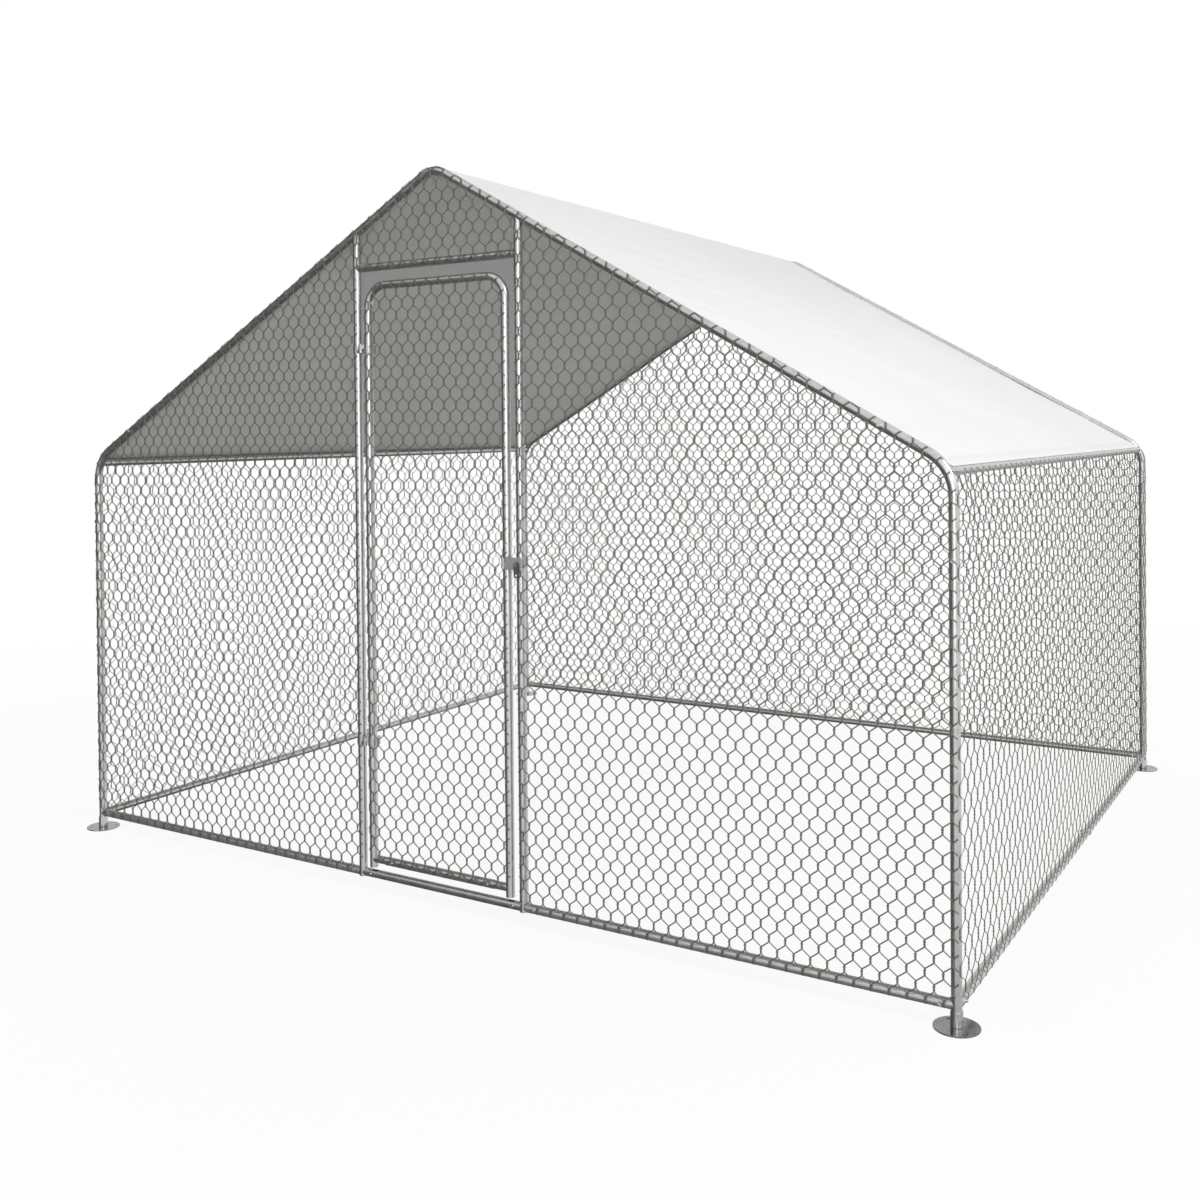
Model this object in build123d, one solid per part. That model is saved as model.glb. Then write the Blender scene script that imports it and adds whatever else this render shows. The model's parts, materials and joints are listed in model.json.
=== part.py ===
from build123d import *
from collections import namedtuple
import math
import os

os.makedirs("parts", exist_ok=True)

# A walk-in poultry pen of galvanised tube. X runs across the gable, Y from the door gable to the
# back gable, Z is up. The origin is on the ground in the middle of the pen. Sizes in millimetres.

# Whole pen
WIDTH = 3000.0  # over the corner posts, across the gable
DEPTH = 2600.0  # over the corner posts, front to back
EAVE_HEIGHT = 1275.0  # where the centre lines of a post and its slope meet
RIDGE_HEIGHT = 2120.0  # where the centre lines of the two slopes meet
RAIL_HEIGHT = 52.0  # centre line of the base rails

# Tube and its joints
TUBE_DIA = 25.0
TUBE_WALL = 1.0
EAVE_BEND = 115.0  # centre line radius of the eave bends
APEX_BEND = 80.0  # centre line radius of the apex bends
EAVE_POST_LEG = 190.0  # eave piece: length down the post from the meeting point
EAVE_SLOPE_LEG = 175.0  # eave piece: length up the slope from the meeting point
APEX_LEG = 455.0  # apex piece: length down each slope from the meeting point
RAIL_SPLICE = 1470.0  # from the front posts to the splice of each long side rail
BACK_SPLICE = 0.0  # place of the back rail's splice across the pen
FIT_GAP = 0.1  # between a tube and the stub inside it, and between touching pieces
STUB_LENGTH = 45.0  # necked stub that a tube slides over
STUB_SHOULDER = 3.0  # thickness of the step at a necked tube end

# Joint bolts
BOLT_INSET = 22.0  # bolt to the tube's end
BOLT_DIA = 6.0
BOLT_HOLE_DIA = 6.4
BOLT_HEAD_DIA = 10.0
BOLT_HEAD_HEIGHT = 3.5
NUT_ACROSS = 10.0
NUT_HEIGHT = 4.0
BOLT_TIP = 1.0  # thread showing past the nut

# Feet
FOOT_DIA = 107.0
FOOT_PLATE = 3.0
FOOT_SLEEVE_WALL = 2.0
FOOT_SLEEVE_DROP = 2.5  # top of the sleeve to the underside of the base rail
FOOT_HOLE_DIA = 10.0
FOOT_HOLE_RADIUS = 41.0  # from the post's axis to each peg hole

# Doorway
DOOR_POST_SPACING = 584.0  # between the door posts' axes
DOOR_POST_BASE = 100.0  # base piece: from the rail's centre line to its shoulder
HEADER_HEIGHT = 1850.0

# Door
HINGE_GAP = 17.0  # clear gap between post and stile on the hinge side
LATCH_GAP = 21.0  # clear gap between stile and post on the latch side
DOOR_TOP_GAP = 30.0  # clear gap under the header
DOOR_SILL_GAP = 8.0  # clear gap over the sill
DOOR_TAIL = 12.0  # stile below the bottom bar
DOOR_BEND = 62.0  # centre line radius of the top corners
DOOR_BAR_NECK = 40.0  # bare stub between a stile and the end of the bottom bar

# Netting, drawn with coarse cells
NET_PITCH = 150.0
NET_STRAND = 4.0
NET_THICK = 1.6
NET_BORDER = 6.0
NET_SHOULDER = 7.0  # the net's edge lies this far from a tube's centre line
NET_BAND_GAP = 1.0  # round a clamp band

# Roof cover
COVER_THICK = 1.0
COVER_SEAT = 0.3  # clearance over the rails that carry it
COVER_NUT_GAP = 1.0  # clearance behind the rafter nuts
COVER_WRAP = 10.0  # degrees that its edge turns on over each eave rail

# Clamp bands
BAND_WALL = 2.0
BAND_HEIGHT = 24.0
EAR_LENGTH = 14.0
EAR_THICK = 2.5
EAR_SLIT = 2.0
CLAMP_BOLT_DIA = 5.0
CLAMP_HOLE_DIA = 5.4
CLAMP_HEAD_DIA = 8.5
CLAMP_HEAD_HEIGHT = 3.0

# Hinges
HINGE_LOWER = 445.0
HINGE_UPPER = 1610.0
HINGE_FORWARD = 12.0  # hinge axis in front of the tubes' centre plane
PINTLE_DIA = 8.0
EYE_WALL = 3.0
PINTLE_TOP = 3.0  # pintle above the eye
RUN_GAP = 0.05  # radial clearance of a turning fit
STEP_GAP = 0.5  # between faces that turn past each other

# Latch
LATCH_HEIGHT = 1000.0
HASP_FORWARD = 20.5  # hasp plate in front of the tubes' centre plane
HASP_HEIGHT = 34.0
HASP_THICK = 2.5
HASP_TIP = 14.0  # plate beyond the stud
HASP_PIN_DIA = 5.0
HASP_EYE_WALL = 2.0
HASP_EYE_HEIGHT = 12.0
ARM_WALL = 3.0
STUD_DROP = 3.0  # stud below the middle of the hasp plate
STUD_DIA = 6.0
STUD_BOSS_DIA = 12.0
STUD_HEAD_DIA = 10.0
STUD_HEAD_HEIGHT = 2.0
HUB_DIA = 10.0
TAB_WIDTH = 15.0
TAB_LENGTH = 28.0  # from the stud to the middle of the tab's round end
TAB_THICK = 3.0
TAB_HOLE_DIA = 7.0
TAB_GAP = 2.0  # round the tab in the notch of the hasp plate
PLATE_GAP = 1.0  # between the post boss, the hasp plate and the tab

# Places that follow from the sizes
TUBE_R = TUBE_DIA / 2
BORE_R = TUBE_R - TUBE_WALL
STUB_R = BORE_R - FIT_GAP
STUB_BORE_R = STUB_R - TUBE_WALL
HALF_W = WIDTH / 2 - TUBE_R
HALF_D = DEPTH / 2 - TUBE_R
PITCH = math.atan2(RIDGE_HEIGHT - EAVE_HEIGHT, HALF_W)
EAVE_TURN = math.pi / 2 - PITCH
EAVE_TANGENT = EAVE_BEND * math.tan(EAVE_TURN / 2)
APEX_TANGENT = APEX_BEND * math.tan(PITCH)
EAVE_SAG = EAVE_BEND * (1 / math.cos(EAVE_TURN / 2) - 1)
EAVE_RAIL_X = HALF_W - EAVE_SAG * math.cos(EAVE_TURN / 2)
EAVE_RAIL_Z = EAVE_HEIGHT - EAVE_SAG * math.sin(EAVE_TURN / 2)
RIDGE_RAIL_Z = RIDGE_HEIGHT - APEX_BEND * (1 / math.cos(PITCH) - 1)
POST_TOP = EAVE_HEIGHT - EAVE_POST_LEG
DOOR_POST_X = DOOR_POST_SPACING / 2
DOOR_BASE_TOP = RAIL_HEIGHT + DOOR_POST_BASE
BUTT = TUBE_R + FIT_GAP
DOOR_POST_TOP = RIDGE_HEIGHT - (DOOR_POST_X + TUBE_R) * math.tan(PITCH) - BUTT / math.cos(PITCH)
DOOR_LEFT = -DOOR_POST_X + TUBE_DIA + HINGE_GAP
DOOR_RIGHT = DOOR_POST_X - TUBE_DIA - LATCH_GAP
DOOR_TOP = HEADER_HEIGHT - TUBE_DIA - DOOR_TOP_GAP
DOOR_FOOT = RAIL_HEIGHT + TUBE_R + DOOR_SILL_GAP
DOOR_BAR_Z = DOOR_FOOT + DOOR_TAIL + TUBE_R
NET_BACK = math.sqrt(TUBE_R**2 - NET_SHOULDER**2) + FIT_GAP
BAND_BORE_R = TUBE_R + FIT_GAP
BAND_R = BAND_BORE_R + BAND_WALL
EAR_BOLT_Y = BAND_R + EAR_LENGTH / 2
HINGE_X = -DOOR_POST_X + TUBE_R + HINGE_GAP / 2
HINGE_Y = -HALF_D - HINGE_FORWARD
HASP_Y = -HALF_D - HASP_FORWARD
STUD_Z = LATCH_HEIGHT - STUD_DROP

X_WAY = Vector(1, 0, 0)
Y_WAY = Vector(0, 1, 0)
Z_WAY = Vector(0, 0, 1)
SIDES = {"left": -1, "right": 1}
ENDS = {"front": -1, "back": 1}

# A tube joint: the end of the sliding tube, the way into that tube, and its bolt from head to nut
Joint = namedtuple("Joint", "root way cross")


def up_slope(side):
    """Unit vector up the roof slope of one side."""
    return Vector(-side * math.cos(PITCH), 0, math.sin(PITCH))


def rod(start, end, radius):
    """Round bar between two points."""
    axis = end - start
    bar = Cylinder(radius, axis.length, align=(Align.CENTER, Align.CENTER, Align.MIN))
    return Plane(origin=start, z_dir=axis) * bar


def block(low, high):
    """Box between two opposite corners."""
    size = high - low
    box = Box(size.X, size.Y, size.Z, align=(Align.MIN, Align.MIN, Align.MIN))
    return Pos(low.X, low.Y, low.Z) * box


def bolt_place(joint):
    """Middle of a joint's bolt."""
    return joint.root + joint.way * BOLT_INSET


def bolt_hole(joint):
    """Hole right through a tube at a joint's bolt."""
    middle = bolt_place(joint)
    return rod(middle - joint.cross * TUBE_DIA, middle + joint.cross * TUBE_DIA, BOLT_HOLE_DIA / 2)


def drilled(body, joints):
    """A body with the bolt holes of the given joints."""
    for joint in joints:
        body -= bolt_hole(joint)
    return body


def straight_tube(start, end, joints):
    """Plain tube that slides over the stubs at its ends."""
    return drilled(rod(start, end, TUBE_R) - rod(start, end, BORE_R), joints)


def welded_stubs(outer, inner, joints):
    """Solid tube with a stub fixed to its side at each joint, then bored out."""
    for joint in joints:
        outer += rod(joint.root - joint.way * BUTT, joint.root + joint.way * STUB_LENGTH, STUB_R)
    outer -= inner
    for joint in joints:
        outer -= rod(joint.root + joint.way * TUBE_WALL, joint.root + joint.way * (STUB_LENGTH + 1), STUB_BORE_R)
    return drilled(outer, joints)


def necked_end(body, joint):
    """A tube end stepped down to a stub."""
    step = joint.root - joint.way * STUB_SHOULDER
    tip = joint.root + joint.way * STUB_LENGTH
    body += rod(step, joint.root, TUBE_R) + rod(joint.root, tip, STUB_R)
    body -= rod(step - joint.way, tip + joint.way, STUB_BORE_R)
    return drilled(body, [joint])


def joint_bolt(joint):
    """Bolt with its nut through one joint."""
    middle = bolt_place(joint)
    seat = joint.cross * (TUBE_R + FIT_GAP / 2)
    head = rod(middle - seat - joint.cross * BOLT_HEAD_HEIGHT, middle - seat, BOLT_HEAD_DIA / 2)
    shank = rod(middle - seat, middle + seat + joint.cross * (NUT_HEIGHT + BOLT_TIP), BOLT_DIA / 2)
    hexagon = RegularPolygon(NUT_ACROSS / 2, 6, major_radius=False)
    nut = extrude(Plane(origin=middle + seat, z_dir=joint.cross) * hexagon, NUT_HEIGHT)
    return head + shank + nut


# Joints, each named for the piece that carries the stub


def post_joints(side, end):
    """Base rail stubs on a corner post: along the gable, then along the side."""
    corner = Vector(side * HALF_W, end * HALF_D, RAIL_HEIGHT)
    across = Joint(corner - X_WAY * side * BUTT, X_WAY * -side, Y_WAY * -end)
    along = Joint(corner - Y_WAY * end * BUTT, Y_WAY * -end, X_WAY * -side)
    return [across, along]


def eave_corner(side, end):
    """Meeting point of a post and its slope."""
    return Vector(side * HALF_W, end * HALF_D, EAVE_HEIGHT)


def eave_post_joint(side, end):
    """Stub of an eave piece that goes down into the post."""
    return Joint(Vector(side * HALF_W, end * HALF_D, POST_TOP), Z_WAY * -1, Y_WAY * -end)


def eave_rafter_joint(side, end):
    """Stub of an eave piece that goes up into the rafter."""
    way = up_slope(side)
    return Joint(eave_corner(side, end) + way * EAVE_SLOPE_LEG, way, Y_WAY * -end)


def eave_rail_joint(side, end):
    """Stub at the middle of an eave bend for the eave rail."""
    root = Vector(side * EAVE_RAIL_X, end * (HALF_D - BUTT), EAVE_RAIL_Z)
    return Joint(root, Y_WAY * -end, X_WAY * -side)


def apex_rafter_joint(side, end):
    """Stub of an apex piece that goes down into the rafter."""
    way = up_slope(side) * -1
    return Joint(Vector(0, end * HALF_D, RIDGE_HEIGHT) + way * APEX_LEG, way, Y_WAY * -end)


def ridge_joint(end):
    """Stub at the middle of an apex bend for the ridge rail."""
    return Joint(Vector(0, end * (HALF_D - BUTT), RIDGE_RAIL_Z), Y_WAY * -end, X_WAY)


def door_top_joint(side):
    """Stub under the front apex piece for a door post."""
    return Joint(Vector(side * DOOR_POST_X, -HALF_D, DOOR_POST_TOP), Z_WAY * -1, Y_WAY)


def door_base_joints(side):
    """Stubs of a door post base: outward rail, sill, and the post above."""
    foot = Vector(side * DOOR_POST_X, -HALF_D, RAIL_HEIGHT)
    outward = Joint(foot + X_WAY * side * BUTT, X_WAY * side, Y_WAY)
    inward = Joint(foot - X_WAY * side * BUTT, X_WAY * -side, Y_WAY)
    above = Joint(Vector(side * DOOR_POST_X, -HALF_D, DOOR_BASE_TOP), Z_WAY, Y_WAY)
    return [outward, inward, above]


def header_joint(side):
    """Stub on a door post for the header."""
    root = Vector(side * (DOOR_POST_X - BUTT), -HALF_D, HEADER_HEIGHT)
    return Joint(root, X_WAY * -side, Y_WAY)


def side_splice(x, z, side):
    """Splice of a two-piece rail along the pen."""
    return Joint(Vector(x, -HALF_D + RAIL_SPLICE, z), Y_WAY * -1, X_WAY * -side)


def back_splice():
    """Splice of the back base rail."""
    return Joint(Vector(BACK_SPLICE, HALF_D, RAIL_HEIGHT), X_WAY * -1, Y_WAY * -1)


def door_bar_joint(side):
    """Stub on a door stile for the bottom bar."""
    stile = DOOR_LEFT if side < 0 else DOOR_RIGHT
    root = Vector(stile - side * (TUBE_R + DOOR_BAR_NECK), -HALF_D, DOOR_BAR_Z)
    return Joint(root, X_WAY * -side, Y_WAY)


# Frame pieces


def foot(side, end):
    """Round foot plate with a sleeve for the post and two peg holes on the pen's diagonal."""
    centre = Vector(side * HALF_W, end * HALF_D, 0)
    plate_top = centre + Z_WAY * FOOT_PLATE
    sleeve_top = centre + Z_WAY * (RAIL_HEIGHT - TUBE_R - FOOT_SLEEVE_DROP)
    body = rod(centre, plate_top, FOOT_DIA / 2)
    body += rod(plate_top, sleeve_top, BUTT + FOOT_SLEEVE_WALL)
    body -= rod(plate_top, sleeve_top + Z_WAY, BUTT)
    for way in (-1, 1):
        reach = way * FOOT_HOLE_RADIUS / math.sqrt(2)
        place = centre + Vector(side * reach, end * reach, 0)
        body -= rod(place - Z_WAY, place + Z_WAY * (FOOT_PLATE + 1), FOOT_HOLE_DIA / 2)
    return body


def corner_post(side, end):
    """Corner post with its two base rail stubs."""
    bottom = Vector(side * HALF_W, end * HALF_D, FOOT_PLATE)
    top = Vector(side * HALF_W, end * HALF_D, POST_TOP)
    body = welded_stubs(rod(bottom, top, TUBE_R), rod(bottom, top, BORE_R), post_joints(side, end))
    return drilled(body, [eave_post_joint(side, end)])


def bent_bars(points, bend):
    """Outer and inner round bars along a bent centre line."""
    path = FilletPolyline(*points, radius=bend)
    start = Plane(origin=path @ 0, z_dir=path % 0)
    return [sweep(start * Circle(radius), path=path) for radius in (TUBE_R, BORE_R)]


def eave_piece(side, end):
    """Bent eave corner with a stub into the post, one into the rafter and one for the eave rail."""
    post_joint = eave_post_joint(side, end)
    rafter_joint = eave_rafter_joint(side, end)
    points = [post_joint.root, eave_corner(side, end), rafter_joint.root]
    outer, inner = bent_bars(points, EAVE_BEND)
    body = welded_stubs(outer, inner, [eave_rail_joint(side, end)])
    return necked_end(necked_end(body, post_joint), rafter_joint)


def apex_piece(end):
    """Bent apex with a stub into each rafter, one for the ridge rail and, in front, the door posts."""
    ends = [apex_rafter_joint(side, end) for side in SIDES.values()]
    points = [ends[0].root, Vector(0, end * HALF_D, RIDGE_HEIGHT), ends[1].root]
    outer, inner = bent_bars(points, APEX_BEND)
    stubs = [ridge_joint(end)]
    body = welded_stubs(outer, inner, stubs)
    if end < 0:
        for side in SIDES.values():
            joint = door_top_joint(side)
            root = Vector(joint.root.X, joint.root.Y, RIDGE_HEIGHT - DOOR_POST_X * math.tan(PITCH))
            stub = rod(root, joint.root - Z_WAY * STUB_LENGTH, STUB_R) - inner
            stub -= rod(joint.root - Z_WAY * TUBE_WALL, joint.root - Z_WAY * (STUB_LENGTH + 1), STUB_BORE_R)
            body = drilled(body + stub, [joint])
    return necked_end(necked_end(body, ends[0]), ends[1])


def rafter(side, end):
    """Straight slope tube between the apex piece and the eave piece."""
    top = apex_rafter_joint(side, end)
    low = eave_rafter_joint(side, end)
    return straight_tube(low.root, top.root, [low, top])


def rail_pair(front_joint, back_joint, splice, bolted):
    """Front and back halves of a rail along the pen, the back one necked into the front one."""
    front_ends = [front_joint, splice] if bolted else [splice]
    back_ends = [back_joint] if bolted else []
    front = straight_tube(front_joint.root, splice.root, front_ends)
    back = straight_tube(splice.root, back_joint.root, back_ends)
    return {"front": front, "back": necked_end(back, splice)}


def front_rail(side):
    """Front base rail between a corner post and the door post."""
    outer = post_joints(side, -1)[0]
    inner = door_base_joints(side)[0]
    return straight_tube(inner.root, outer.root, [inner, outer])


def back_rails():
    """Two halves of the back base rail, the right one necked into the left one."""
    left_joint = post_joints(-1, 1)[0]
    right_joint = post_joints(1, 1)[0]
    splice = back_splice()
    left = straight_tube(left_joint.root, splice.root, [left_joint, splice])
    right = straight_tube(splice.root, right_joint.root, [right_joint])
    return {"left": left, "right": necked_end(right, splice)}


def door_sill():
    """Base tube between the door posts."""
    left, right = [door_base_joints(side)[1] for side in SIDES.values()]
    return straight_tube(left.root, right.root, [left, right])


def door_post_base(side):
    """Short foot of a door post, joining rail, sill and post."""
    outward, inward, above = door_base_joints(side)
    bottom = Vector(side * DOOR_POST_X, -HALF_D, RAIL_HEIGHT - TUBE_R)
    outer = rod(bottom, above.root, TUBE_R)
    inner = rod(bottom, above.root, BORE_R)
    return necked_end(welded_stubs(outer, inner, [outward, inward]), above)


def door_post(side):
    """Door post with the stub for the header."""
    low = door_base_joints(side)[2]
    top = door_top_joint(side)
    outer = rod(low.root, top.root, TUBE_R)
    body = welded_stubs(outer, rod(low.root, top.root, BORE_R), [header_joint(side)])
    return drilled(body, [low, top])


def door_header():
    """Tube over the door."""
    left, right = [header_joint(side) for side in SIDES.values()]
    return straight_tube(left.root, right.root, [left, right])


def frame_joints():
    """Every bolted joint of the standing frame."""
    joints = [back_splice()]
    for side in SIDES.values():
        joints += [side_splice(side * HALF_W, RAIL_HEIGHT, side)]
        joints += [side_splice(side * EAVE_RAIL_X, EAVE_RAIL_Z, side)]
        joints += door_base_joints(side)
        joints += [door_top_joint(side), header_joint(side)]
        for end in ENDS.values():
            joints += post_joints(side, end)
            joints += [eave_post_joint(side, end), eave_rafter_joint(side, end)]
            joints += [apex_rafter_joint(side, end), eave_rail_joint(side, end)]
    return joints


# Netting


def turn(a, b, p):
    """Positive where p lies to the left of the line from a to b."""
    return (b[0] - a[0]) * (p[1] - a[1]) - (b[1] - a[1]) * (p[0] - a[0])


def crossing(a, b, p, q):
    """Point where the line through p and q meets the line through a and b."""
    share = turn(a, b, p) / (turn(a, b, p) - turn(a, b, q))
    return (p[0] + (q[0] - p[0]) * share, p[1] + (q[1] - p[1]) * share)


def inset(points, gap):
    """Anticlockwise convex outline with every edge moved inward."""
    moved = []
    for a, b in zip(points, points[1:] + points[:1]):
        length = math.dist(a, b)
        shift = (-(b[1] - a[1]) * gap / length, (b[0] - a[0]) * gap / length)
        moved.append(((a[0] + shift[0], a[1] + shift[1]), (b[0] + shift[0], b[1] + shift[1])))
    return [crossing(*moved[i - 1], *moved[i]) for i in range(len(moved))]


def clipped(cell, fence):
    """Part of a convex cell inside an anticlockwise convex fence."""
    for a, b in zip(fence, fence[1:] + fence[:1]):
        kept = []
        for p, q in zip(cell[-1:] + cell[:-1], cell):
            if (turn(a, b, p) > 0) != (turn(a, b, q) > 0):
                kept.append(crossing(a, b, p, q))
            if turn(a, b, q) > 0:
                kept.append(q)
        cell = kept
        if not cell:
            break
    return cell


def area(points):
    """Area of an outline."""
    pairs = zip(points, points[1:] + points[:1])
    return abs(sum(a[0] * b[1] - b[0] * a[1] for a, b in pairs)) / 2


def hexagon_cells(fence):
    """Upright hexagonal gaps that fill a fence, cut off at its edges."""
    low = [min(p[i] for p in fence) for i in (0, 1)]
    high = [max(p[i] for p in fence) for i in (0, 1)]
    middle = (low[0] + high[0]) / 2
    rise = NET_PITCH * math.sqrt(3) / 2
    reach = (NET_PITCH - NET_STRAND) / math.sqrt(3)
    columns = math.ceil((high[0] - low[0]) / NET_PITCH / 2) + 1
    rows = math.ceil((high[1] - low[1]) / rise) + 1
    cells = []
    for row in range(rows):
        for column in range(-columns, columns + 1):
            x = middle + (column + row % 2 / 2) * NET_PITCH
            z = low[1] + row * rise
            turns = [math.radians(30 + 60 * i) for i in range(6)]
            cell = clipped([(x + reach * math.cos(t), z + reach * math.sin(t)) for t in turns], fence)
            if cell and area(cell) > NET_STRAND * NET_PITCH:
                cells.append(cell)
    return cells


def net(points, plane):
    """Flat net inside the centre lines of its tubes, one holed sheet seated on their shoulders."""
    outline = inset(points, NET_SHOULDER)
    rings = [Wire.make_polygon(ring) for ring in [outline] + hexagon_cells(inset(outline, NET_BORDER))]
    sheet = Face(rings[0], rings[1:])
    return extrude(plane * sheet, NET_THICK)


def gable_plane(end):
    """Back of the netting on one gable."""
    return Plane(origin=(0, end * (HALF_D + NET_BACK), 0), x_dir=(-end, 0, 0), z_dir=(0, end, 0))


def wall_plane(side):
    """Back of the netting on one side wall."""
    return Plane(origin=(side * (HALF_W + NET_BACK), 0, 0), x_dir=(0, side, 0), z_dir=(side, 0, 0))


def slope_height(x):
    """Height of the slope's centre line at one place across the gable."""
    return RIDGE_HEIGHT - abs(x) * math.tan(PITCH)


def right_edge():
    """Centre line of a gable's right post and slope up to the apex bend, its bends cut straight."""
    bend_end = HALF_W - EAVE_TANGENT * math.cos(PITCH)
    apex_end = APEX_TANGENT * math.cos(PITCH)
    places = [(HALF_W, RAIL_HEIGHT), (HALF_W, EAVE_HEIGHT - EAVE_TANGENT)]
    return places + [(x, slope_height(x)) for x in (bend_end, apex_end)]


def mirrored(points):
    """Outline turned over left to right, still anticlockwise."""
    return [(-x, z) for x, z in reversed(points)]


def without_bands(panel, x, heights):
    """A net cut away round the clamp bands on one upright."""
    for height in heights:
        reach = BAND_HEIGHT / 2 + NET_BAND_GAP
        low = Vector(x, -HALF_D, height - reach)
        panel -= rod(low, low + Z_WAY * 2 * reach, BAND_R + NET_BAND_GAP)
    return panel


def front_side_net(side):
    """Netting between a door post and the corner."""
    edge = right_edge()[:3]
    right = [(DOOR_POST_X, RAIL_HEIGHT)] + edge + [(DOOR_POST_X, slope_height(DOOR_POST_X))]
    panel = net(right if side > 0 else mirrored(right), gable_plane(-1))
    heights = [LATCH_HEIGHT] if side > 0 else [HINGE_LOWER, HINGE_UPPER]
    return without_bands(panel, side * DOOR_POST_X, heights)


def front_top_net():
    """Netting over the header."""
    right = [(DOOR_POST_X, HEADER_HEIGHT), (DOOR_POST_X, slope_height(DOOR_POST_X)), right_edge()[3]]
    return net(right + mirrored(right), gable_plane(-1))


def back_net():
    """Netting of the whole back gable."""
    right = right_edge()
    return net(right + mirrored(right), gable_plane(1))


def wall_net(side):
    """Netting of one side wall, up to the eave rail."""
    top = EAVE_RAIL_Z + NET_SHOULDER
    corners = [(-HALF_D, RAIL_HEIGHT), (HALF_D, RAIL_HEIGHT), (HALF_D, top), (-HALF_D, top)]
    return net(corners, wall_plane(side))


def door_net():
    """Netting inside the door frame."""
    shoulder = DOOR_TOP - DOOR_BEND
    right = [(DOOR_RIGHT, DOOR_BAR_Z), (DOOR_RIGHT, shoulder), (DOOR_RIGHT - DOOR_BEND, DOOR_TOP)]
    left = [(DOOR_LEFT + DOOR_BEND, DOOR_TOP), (DOOR_LEFT, shoulder), (DOOR_LEFT, DOOR_BAR_Z)]
    panel = net(right + left, gable_plane(-1))
    panel = without_bands(panel, DOOR_LEFT, [HINGE_LOWER, HINGE_UPPER])
    return without_bands(panel, DOOR_RIGHT, [LATCH_HEIGHT])


# Roof cover


def cover_line(rise):
    """Arcs and lines of the cover's section at one height above the rails' centre lines."""
    run = math.atan2(RIDGE_RAIL_Z - EAVE_RAIL_Z, EAVE_RAIL_X)
    lean = math.pi / 2 - run
    ridge = [(rise * math.cos(t), RIDGE_RAIL_Z + rise * math.sin(t)) for t in (lean, math.pi / 2, math.pi - lean)]
    wrap = [lean - math.radians(COVER_WRAP) * share for share in (1, 0.5, 0)]
    eave = [(EAVE_RAIL_X + rise * math.cos(t), EAVE_RAIL_Z + rise * math.sin(t)) for t in wrap]
    far = [(-x, z) for x, z in reversed(eave)]
    arcs = [ThreePointArc(*eave), ThreePointArc(*ridge), ThreePointArc(*far)]
    lines = [Line(eave[2], ridge[0]), Line(ridge[2], far[0])]
    return arcs + lines, eave[0], far[2]


def roof_cover():
    """Sheet over the ridge rail and both eave rails, between the two gables."""
    low = TUBE_R + COVER_SEAT
    inner, inner_start, inner_end = cover_line(low)
    outer, outer_start, outer_end = cover_line(low + COVER_THICK)
    hems = [Line(inner_start, outer_start), Line(inner_end, outer_end)]
    reach = HALF_D - TUBE_R - FIT_GAP - NUT_HEIGHT - BOLT_TIP - COVER_NUT_GAP
    section = make_face(inner + outer + hems)
    plane = Plane(origin=(0, reach, 0), x_dir=(1, 0, 0), z_dir=(0, -1, 0))
    return extrude(plane * section, 2 * reach)


# Clamp bands, hinges and latch


def band(x, height):
    """Split clamp ring round an upright of the door gable, its ears pointing into the pen."""
    axis = Vector(x, -HALF_D, height)
    half = Z_WAY * (BAND_HEIGHT / 2)
    half_slit = X_WAY * (EAR_SLIT / 2)
    half_ears = half_slit + X_WAY * EAR_THICK
    tip = Y_WAY * (BAND_R + EAR_LENGTH)
    body = rod(axis - half, axis + half, BAND_R)
    body += block(axis - half - half_ears, axis + half + half_ears + tip)
    body -= block(axis - half - half_slit, axis + half + half_slit + tip)
    bolt = axis + Y_WAY * EAR_BOLT_Y
    return body - rod(bolt - half_ears * 2, bolt + half_ears * 2, CLAMP_HOLE_DIA / 2)


def bored(body, x, height):
    """A band's body opened for its tube."""
    half = Z_WAY * BAND_HEIGHT
    axis = Vector(x, -HALF_D, height)
    return body - rod(axis - half, axis + half, BAND_BORE_R)


def lug(x, to_x, to_y, low, high, radius):
    """Upright lug from a tube's axis to a rounded end."""
    start = Vector(x, -HALF_D, low)
    end = Vector(to_x, to_y, low)
    away = end - start
    plane = Plane(origin=start, x_dir=away, z_dir=Z_WAY)
    web = Rectangle(away.length, 2 * radius, align=(Align.MIN, Align.CENTER))
    return extrude(plane * web, high - low) + rod(end, end + Z_WAY * (high - low), radius)


def clamp_bolt(x, height):
    """Bolt and nut that draw a band's ears together."""
    middle = Vector(x, -HALF_D + EAR_BOLT_Y, height)
    seat = X_WAY * (EAR_SLIT / 2 + EAR_THICK + FIT_GAP / 2)
    head = X_WAY * CLAMP_HEAD_HEIGHT
    shank = rod(middle - seat - head, middle + seat + head, CLAMP_BOLT_DIA / 2)
    ends = rod(middle - seat - head, middle - seat, CLAMP_HEAD_DIA / 2)
    return shank + ends + rod(middle + seat, middle + seat + head, CLAMP_HEAD_DIA / 2)


def pintle_band(height):
    """Hinge clamp on the door post with an upright pintle."""
    low = height - BAND_HEIGHT / 2
    pin = Vector(HINGE_X, HINGE_Y, low)
    body = band(-DOOR_POST_X, height)
    body += lug(-DOOR_POST_X, HINGE_X, HINGE_Y, low, height - STEP_GAP / 2, PINTLE_DIA / 2 + EYE_WALL)
    body = bored(body, -DOOR_POST_X, height)
    return body + rod(pin, pin + Z_WAY * (BAND_HEIGHT + PINTLE_TOP), PINTLE_DIA / 2)


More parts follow.
